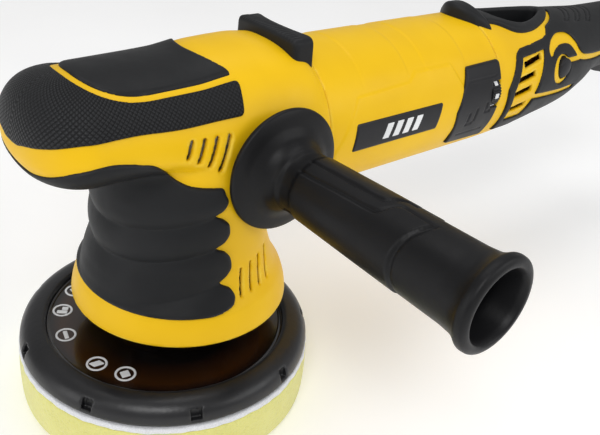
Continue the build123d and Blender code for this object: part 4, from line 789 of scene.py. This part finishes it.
def mirrored(points):
    """A closed outline from one half of it."""
    return points + [(u, -v) for u, v in reversed(points)]


RIM_HALF = [(203, 13), (212, 14.5), (226, 20.3), (244, 19.4), (263, 13.6), (274, 8), (280.5, 2)]
HOLE_HALF = [(211, 3), (216, 9.5), (231, 15.6), (245, 14.4), (259, 9.8), (270, 4.5), (273, 1)]
RIM = mirrored(smooth_line(RIM_HALF, 4))
HOLE = mirrored(smooth_line(HOLE_HALF, 4))


def rear(x, y, z):
    middle = curve(x, REAR_MIDDLE)
    high = np.where(z > middle, curve(x, REAR_HEIGHT), curve(x, REAR_BELLY))
    f = np.hypot(y / curve(x, REAR_WIDTH), (z - middle) / high)
    return (f - 1) * np.hypot(y, z - middle) / np.maximum(f, 1e-6)


def recess(x, y, grow=0.0):
    """Signed distance, in plan, to the dished opening on top."""
    return patch(x, y, HOLE, 0) - grow


def trigger_slot(x, y, z):
    return np.maximum(np.maximum(np.abs(x - 370.5) - 23.5, np.abs(y) - 8.4), z - 140)


FRAME_OUT = [(219, 161.2), (250, 162.4), (240, 114.5), (205.5, 114.5), (203.5, 142), (211.5, 155),
             (214.2, 159.4)]
LOUVRES_OUT = [(219, 157.5), (244.5, 158.5), (226, 121.5), (208.5, 121.5), (209.5, 140)]
LOUVRE_SLOTS = [((230.5, 154.4), 21), ((222.8, 146.4), 19), ((219.4, 138.4), 19), ((218.2, 128.4), 16)]
ARCH = smooth_line([(253.8, 156.6), (258.5, 159.4), (268, 161.4), (280, 160.2), (287, 155.2), (293, 149.3),
                    (304, 145.6), (330, 143), (372, 142.2), (424, 142.2)])
LOCK_STRIP = [(272, 148.5), (293, 147.2)]
LOW_STRIP = smooth_line([(230, 133.3), (250, 131), (270, 129), (291, 127.6)])
BLACK = [(277, 192), (263, 171), (261, 167), (256, 164.6), (249, 163.2), (237, 162.2), (221, 161.4),
         (234, 114.5), (236, 104), (252, 90), (440, 90), (440, 192)]


def rear_black(x, z):
    """Signed distance, seen from the side, to the black overmoulding."""
    d = np.minimum(patch(x, z, BLACK, 0.5), patch(x, z, FRAME_OUT, 1.5))
    width = 2.9 - 1.1 * ramp(x, 288, 300)
    d = smooth_max(d, width - line_distance(x, z, ARCH), 0.4)
    d = smooth_max(d, 1.5 - line_distance(x, z, LOW_STRIP), 0.4)
    ring = (np.hypot((x - 266.0) / 11.2, (z - 144.3) / 9.0) - 1) * 10
    d = smooth_max(d, -smooth_min(ring, line_distance(x, z, LOCK_STRIP) - 1.5, 1.5), 0.3)
    return smooth_max(d, -patch(x, z, LOUVRES_OUT, 0.6), 0.3)


def rear_cuts(f, x, y, z):
    """The openings through the rear housing: recess, trigger, lock button and cable inlet."""
    f = smooth_max(f, -np.maximum(recess(x, y, 1.0), RECESS_FLOOR - z), 0.6)
    f = smooth_max(f, -trigger_slot(x, y, z), 0.6)
    lock = np.hypot(x - LOCK_X, z - LOCK_Z) - 7.2
    f = smooth_max(f, -np.maximum(lock, y + 15), 0.5)
    return smooth_max(f, -np.maximum(np.hypot(y, z - INLET_Z) - 9.2, 410 - x), 0.4)


def rear_shell(x, y, z):
    outer = rear(x, y, z)
    f = smooth_max(outer, REAR_START_X - x, 0.6)
    f = smooth_max(f, x - REAR_END_X, 3.0)
    f = smooth_max(f, -np.maximum(outer + WALL, x - 420), 0.4)
    floor = np.maximum(recess(x, y, 3.5), np.abs(z - RECESS_FLOOR + 1.2) - 1.3)
    wall = np.maximum(np.abs(recess(x, y, -2.3)) - 1.2, RECESS_FLOOR - 2 - z)
    f = np.minimum(f, np.maximum(np.minimum(floor, wall), outer))
    f = rear_cuts(f, x, y, z)
    for (cx, cz), length in LOUVRE_SLOTS:
        u, v = x - cx, z - cz - 0.12 * (x - cx)
        cut = np.maximum(np.abs(u) - length / 2, np.abs(v) - 1.9)
        f = smooth_max(f, -np.maximum(cut, 22 - np.abs(y)), 0.5)
    return f


def rear_half(side):
    def field(x, y, z):
        return smooth_max(rear_shell(x, y, z), 0.06 - side * y, 0.3)
    return field


for side, word in ((LEFT, "left"), (RIGHT, "right")):
    low_y, high_y = sorted((side * -2, side * 43))
    carve(f"rear_shell_{word}_skin", rear_half(side), (191, low_y, 95), (428, high_y, 182), 1.0, yellow,
          "root", (f"rear_housing_{word}",))

CRESCENT_RIBS = (302.0, 316.0, 330.0)


def overmould(x, y, z):
    outer = rear(x, y, z)
    grooves = 0
    for place in CRESCENT_RIBS:
        shift = x - place + 0.055 * y * y
        rib = np.maximum(np.abs(shift) - 2.6, np.abs(y) - 15)
        grooves = grooves + 0.9 * np.clip(1 - np.abs(rib) / 1.2, 0, 1) * (z > 150)
    height = 1.3 - grooves
    f = smooth_max(outer - height, rear_black(x, z), 1.3)
    f = smooth_max(f, x - REAR_END_X, 2.0)
    f = smooth_max(f, REAR_START_X + 8 - x, 1.0)
    f = smooth_max(f, -(outer + 0.6), 0.3)
    f = smooth_max(f, -patch(x, y, RIM, 3.0) - 40 * (z < 150), 0.4)
    f = rear_cuts(f, x, y, z)
    return smooth_max(f, -trigger_slot(x, y * 0.93, z), 0.4)


carve("handle_overmould", overmould, (198, -43, 95), (428, 43, 182), 0.9, rubber, "root",
      ("handle_grip",))


def recess_rim(x, y, z):
    outer = rear(x, y, z)
    ring = smooth_max(patch(x, y, RIM, 0.5), -recess(x, y, -0.6), 1.5)
    f = smooth_max(outer - 2.6, ring, 2.0)
    f = smooth_max(f, -(outer + 0.8), 0.4)
    wall = np.maximum(recess(x, y, 0.9), -recess(x, y, -0.9))
    bowl = np.maximum(wall, np.maximum(RECESS_FLOOR - z, outer - 1))
    floor = np.maximum(recess(x, y, 0.4), np.abs(z - RECESS_FLOOR - 0.9) - 0.9)
    return smooth_min(np.minimum(f, bowl), floor, 1.5)


carve("recess_rim_skin", recess_rim, (198, -28, 158), (290, 28, 184), 0.8, rubber, "root",
      ("recess_trim",))


def rear_bumper(x, y, z):
    base = np.where(x < SEAM_X, barrel(x, y, z), rear(x, y, z))
    sweep = 189.6 + 0.034 * y * y
    f = smooth_max(base - 8.0 + 0.019 * y * y, np.abs(x - sweep) - 6.0 + 0.012 * y * y, 3.2)
    f = smooth_max(f, np.abs(y) - 19.5, 3)
    tail = smooth_max(base - 2.2, np.maximum(np.abs(x - 203) - 11, np.abs(y) - 13.5), 3.0)
    f = np.maximum(smooth_min(f, tail, 3), 150 - z)
    f = smooth_max(f, -np.maximum(patch(x, y, HOLE, 0), base - 40), 1.0)
    return smooth_max(f, -(base + 0.5), 0.4)


carve("rear_bumper_skin", rear_bumper, (182, -32, 158), (220, 32, 190), 0.6, rubber, "root",
      ("rear_bumper",))

# ---------------------------------------------------------------- controls
def lock_button(x, y, z):
    reach = np.hypot(x - LOCK_X, z - LOCK_Z)
    f = smooth_max(reach - 6.6, -36.6 - y + 0.02 * reach ** 2, 1.6)
    return smooth_max(f, y + 27.5, 0.6)


carve("lock_button_skin", lock_button, (260, -40, 135), (278, -26, 154), 0.5, black, "lock_button",
      ("lock_button",))


def dial_marks(x, y, z):
    """Bars round the dial's rim, each a little longer than the last."""
    dy, dz = y - DIAL_Y, z - DIAL_Z
    reach, turn = np.hypot(dy, dz), np.degrees(np.arctan2(dz, dy))
    across = np.abs((turn + 22.5) % 45 - 22.5) * reach * math.pi / 180
    number = np.round(turn / 45) % 8
    bar = np.maximum(np.abs(reach - 9.95) - 0.25, across - 1.5)
    return np.maximum(bar, np.abs(x - 187.7) - 0.9 - 0.18 * number)


carve("dial_marks", dial_marks, (184, -43.5, 130.5), (191.5, -21, 153.5), 0.25, white_print, "speed_dial")

# ---------------------------------------------------------------- side handle
FLANGE_Y, HANDLE_END_Y = 43.0, 168.0
GRIP_FROM, GRIP_TO = 64.0, 154.0
PANEL_EDGE = ((66, 40), (90, 36), (110, 33), (117, 2), (134, 4))
CHANNEL_EDGE = ((66, 13), (100, 11), (108, 10), (115, -20), (134, -22))
PANEL_END = ((0, 134), (20, 132), (41, 129.5), (77, 127.8), (117, 128.7), (180, 132))


def groove(gap, half, depth):
    """A round-sided groove at a signed distance in millimetres."""
    return depth * (1 - ramp(np.abs(gap), half * 0.55, half * 1.25))


def handle_shape(a, t, r):
    """Two raised panels with a channel between them, and a rounded step at each end."""
    skin = r > 13.4
    body = ramp(a, GRIP_FROM, GRIP_FROM + 3) * (1 - ramp(a, GRIP_TO, GRIP_TO + 4)) * skin
    turn = (np.degrees(t) + 40) % 180 - 40
    arc = 0.285
    panel = np.minimum((turn - curve(a, PANEL_EDGE)) * arc, curve(np.abs(turn), PANEL_END) - a)
    upper = np.minimum((curve(a, CHANNEL_EDGE) - turn) * arc, 118.5 - a)
    low = np.maximum(groove(panel, 1.1, 0.75), groove(upper, 0.9, 0.6))
    raised = 0.5 * ramp(np.maximum(panel, upper), -0.3, 0.9)
    step_down = 0.9 * (1 - ramp(a, GRIP_FROM + 1, GRIP_FROM + 4)) * (a > 58) * skin
    return r + (raised - low) * body - step_down * ramp(turn, -30, 0)


handle_profile = rounded([
    (FLANGE_Y, 4.1), (FLANGE_Y, 29.4), (FLANGE_Y + 1.2, 30.2), (FLANGE_Y + 3.0, 30.0), (FLANGE_Y + 4.2, 27.0),
    (FLANGE_Y + 5.2, 22.5), (FLANGE_Y + 8.0, 18.2), (FLANGE_Y + 12, 15.8), (FLANGE_Y + 17, 15.0),
    (FLANGE_Y + 60, 16.2), (HANDLE_END_Y - 16, 17.3), (HANDLE_END_Y - 9.5, 18.0), (HANDLE_END_Y - 6.5, 19.4),
    (HANDLE_END_Y - 4.5, 20.9), (HANDLE_END_Y - 1.2, 20.6), (HANDLE_END_Y, 18.4), (HANDLE_END_Y, 16.6),
    (HANDLE_END_Y - 2.2, 15.4), (HANDLE_END_Y - 12, 13.2), (110, 12.3), (108.5, 11.0), (108.2, 0.4),
    (FLANGE_Y + 33, 0.4), (FLANGE_Y + 32.9, 4.1)], 1.6)
turned("side_handle_grip_skin", (HANDLE_X, 0, HANDLE_Z), (0, -1, 0), (0, 0, 1), fine(handle_profile, 0.8),
       220, handle_black, "side_handle", ("side_handle_grip",), handle_shape)

# ---------------------------------------------------------------- pad and plate
PAD_PLACE = (PAD_X, 0, 0)
UP, FORWARD = (0, 0, 1), (1, 0, 0)


def foam_shape(a, t, r):
    """A pad that bulges a little and has an uneven cut edge."""
    bulge = 0.5 * np.sin(np.clip(a / 26, 0, 1) * np.pi)
    return r + np.where(r > 70, bulge + 0.18 * np.sin(7 * t) * np.cos(3 * t + 1), 0)


pad_profile = rounded([(0.0, 0.5), (0.0, 72.6), (1.0, 74.6), (3.2, 75.5), (25.9, 75.6), (25.9, 0.5)], 1.4)
pad = turned("foam_pad_soft", PAD_PLACE, UP, FORWARD, fine(pad_profile, 1.6), 260, foam, "pad",
             ("foam_pad",), foam_shape)


def loop_shape(a, t, r):
    return r + np.where(r > 74, 0.25 * np.sin(23 * t) * np.sin(9 * t) + 0.12 * np.sin(61 * t), 0)


loop_profile = rounded([(26.0, 0.5), (26.0, 75.7), (28.9, 75.3), (28.9, 0.5)], 0.9)
turned("loop_layer", PAD_PLACE, UP, FORWARD, fine(loop_profile, 1.2), 300, loop_cloth, "pad",
       ("loop_backing",), loop_shape)

NOTCH_TURNS = [8.75 + 40 * k for k in range(9)]


def plate_rim(x, y, z):
    px = x - PAD_X
    r = np.hypot(px, y)
    dome = ((np.maximum(r - 61, 0) / 14) ** 2.5 + (np.maximum(z - 30, 0) / 11) ** 2.5) ** 0.4
    f = smooth_max((dome - 1) * 11, 30.1 - z, 0.8)
    f = smooth_max(f, 61.7 - r, 3.0)
    for turn in NOTCH_TURNS:
        c, s = math.cos(math.radians(turn)), math.sin(math.radians(turn))
        along, across = px * c + y * s, -px * s + y * c
        notch = np.maximum(np.maximum(71.5 - along, np.abs(across) - 2.6), np.maximum(31.8 - z, z - 37.4))
        f = smooth_max(f, -notch, 0.5)
    return f


carve("plate_rim_skin", plate_rim, (PAD_X - 78, -78, 28), (PAD_X + 78, 78, 44), 0.8, plate_rubber, "pad",
      ("plate_rim",))

disc_profile = rounded([(31.0, 9.4), (31.0, 61.5), (37.9, 61.5), (37.5, 60.6), (36.7, 59.6), (36.5, 44),
                        (36.6, 32), (38.0, 27.5), (38.2, 22.0), (38.0, 4.6), (35.5, 4.3), (35.5, 9.2)], 0.9)
turned("plate_disc_skin", PAD_PLACE, UP, FORWARD, fine(disc_profile, 1.2), 240, smoked, "pad",
       ("plate_disc",))

MARKS = ((54.5, 125), (54.5, 144), (53, 166), (51, 197), (50, 215))
GLYPHS = (
    [[(-2.6, -1.2), (2.6, -1.2), (0, 2.6)]],
    [[(-2.4, -2.4), (-0.4, -2.4), (-0.4, 2.4), (-2.4, 2.4)],
     [(0.6, -2.4), (2.6, -2.4), (2.6, 0.2), (0.6, 0.2)]],
    [[(-2.8, -0.8), (2.8, -0.8), (2.8, 0.8), (-2.8, 0.8)]],
    [[(-2.5, -2.2), (0.6, -2.2), (2.6, 2.2), (-0.5, 2.2)]],
    [[(-2.6, 0.2), (0, -2.4), (2.6, 0.2), (0, 2.8)]],
)
for which, (reach, turn) in enumerate(MARKS):
    a = math.radians(turn)
    centre = (PAD_X + reach * math.cos(a), reach * math.sin(a))

    def mark(x, y, z, centre=centre, a=a, glyph=GLYPHS[which]):
        dx, dy = x - centre[0], y - centre[1]
        u, v = dx * math.sin(a) - dy * math.cos(a), dx * math.cos(a) + dy * math.sin(a)
        r = np.hypot(u, v)
        d = np.abs(r - 4.6) - 0.55
        for outline in glyph:
            d = np.minimum(d, patch(u, v, outline, 0.25))
        return np.maximum(d, np.abs(z - 36.72) - 0.25)

    low, high = (centre[0] - 6, centre[1] - 6, 36), (centre[0] + 6, centre[1] + 6, 38)
    carve(f"plate_mark_{which}", mark, low, high, 0.25, white_print, "pad")

# ---------------------------------------------------------------- floor, light and camera
floor_material, tree, shader, place = node_material("floor_look")
shader.inputs["Roughness"].default_value = 0.7
shader.inputs["Emission Color"].default_value = (1, 1, 1, 1)
shader.inputs["Emission Strength"].default_value = 0.14
pale = colours(tree, noise(tree, place, 6.0, 4.0), ((0.3, (0.93, 0.93, 0.93)), (0.7, (0.96, 0.96, 0.96))))
tree.links.new(pale, shader.inputs["Base Color"])
bumps(tree, shader, ((noise(tree, place, 300.0, 3.0), 0.05, 0.0002),))
floor_mesh = bpy.data.meshes.new("studio_floor")
HALF, FLOOR_Z = 6.0, -0.0005
floor_mesh.from_pydata([(u * HALF, v * HALF, FLOOR_Z) for u, v in ((-1, -1), (1, -1), (1, 1), (-1, 1))],
                       [], [(0, 1, 2, 3)])
floor_mesh.materials.append(floor_material)
floor = bpy.data.objects.new("studio_floor", floor_mesh)
bpy.context.scene.collection.objects.link(floor)

world = bpy.data.worlds.new("studio_world")
bpy.context.scene.world = world
world.use_nodes = True
world.node_tree.nodes["Background"].inputs["Color"].default_value = (1.0, 1.0, 1.0, 1)
world.node_tree.nodes["Background"].inputs["Strength"].default_value = 0.42


def area_light(name, place, target, size, power):
    light = bpy.data.lights.new(name, "AREA")
    light.shape = "RECTANGLE"
    light.size, light.size_y = size
    light.energy = power
    lamp = bpy.data.objects.new(name, light)
    bpy.context.scene.collection.objects.link(lamp)
    lamp.location = place
    direction = Vector(target) - Vector(place)
    lamp.rotation_euler = direction.to_track_quat("-Z", "Y").to_euler()


area_light("key_light", (-0.9, -0.9, 1.5), (0.05, 0, 0.1), (0.8, 0.8), 12.5)
area_light("fill_light", (0.9, -1.3, 0.9), (0.1, 0, 0.12), (1.2, 0.8), 7)
area_light("top_light", (0.2, 0.3, 1.7), (0.1, 0, 0.1), (1.4, 0.7), 6.5)
area_light("left_light", (-1.5, 0.2, 0.5), (0, 0, 0.1), (0.6, 1.0), 4)

CAMERA_PLACE = (-0.1834, -0.2786, 0.2938)
YAW, PITCH, ROLL = 0.760265422, 0.527263967, 0.117286126
forward = Vector((math.sin(YAW) * math.cos(PITCH), math.cos(YAW) * math.cos(PITCH), -math.sin(PITCH)))
right = Vector((math.cos(YAW), -math.sin(YAW), 0))
up = right.cross(forward)
camera_right = math.cos(ROLL) * right + math.sin(ROLL) * up
camera_up = -math.sin(ROLL) * right + math.cos(ROLL) * up
camera_data = bpy.data.cameras.new("photo_camera")
camera = bpy.data.objects.new("photo_camera", camera_data)
bpy.context.scene.collection.objects.link(camera)
camera.matrix_world = Matrix.Translation(CAMERA_PLACE) @ Matrix(
    (camera_right, camera_up, -forward)).transposed().to_4x4()
camera_data.sensor_width = 36.0
camera_data.lens = 45.79
camera_data.clip_start = 0.01
bpy.context.scene.camera = camera
bpy.context.scene.view_settings.view_transform = "Standard"
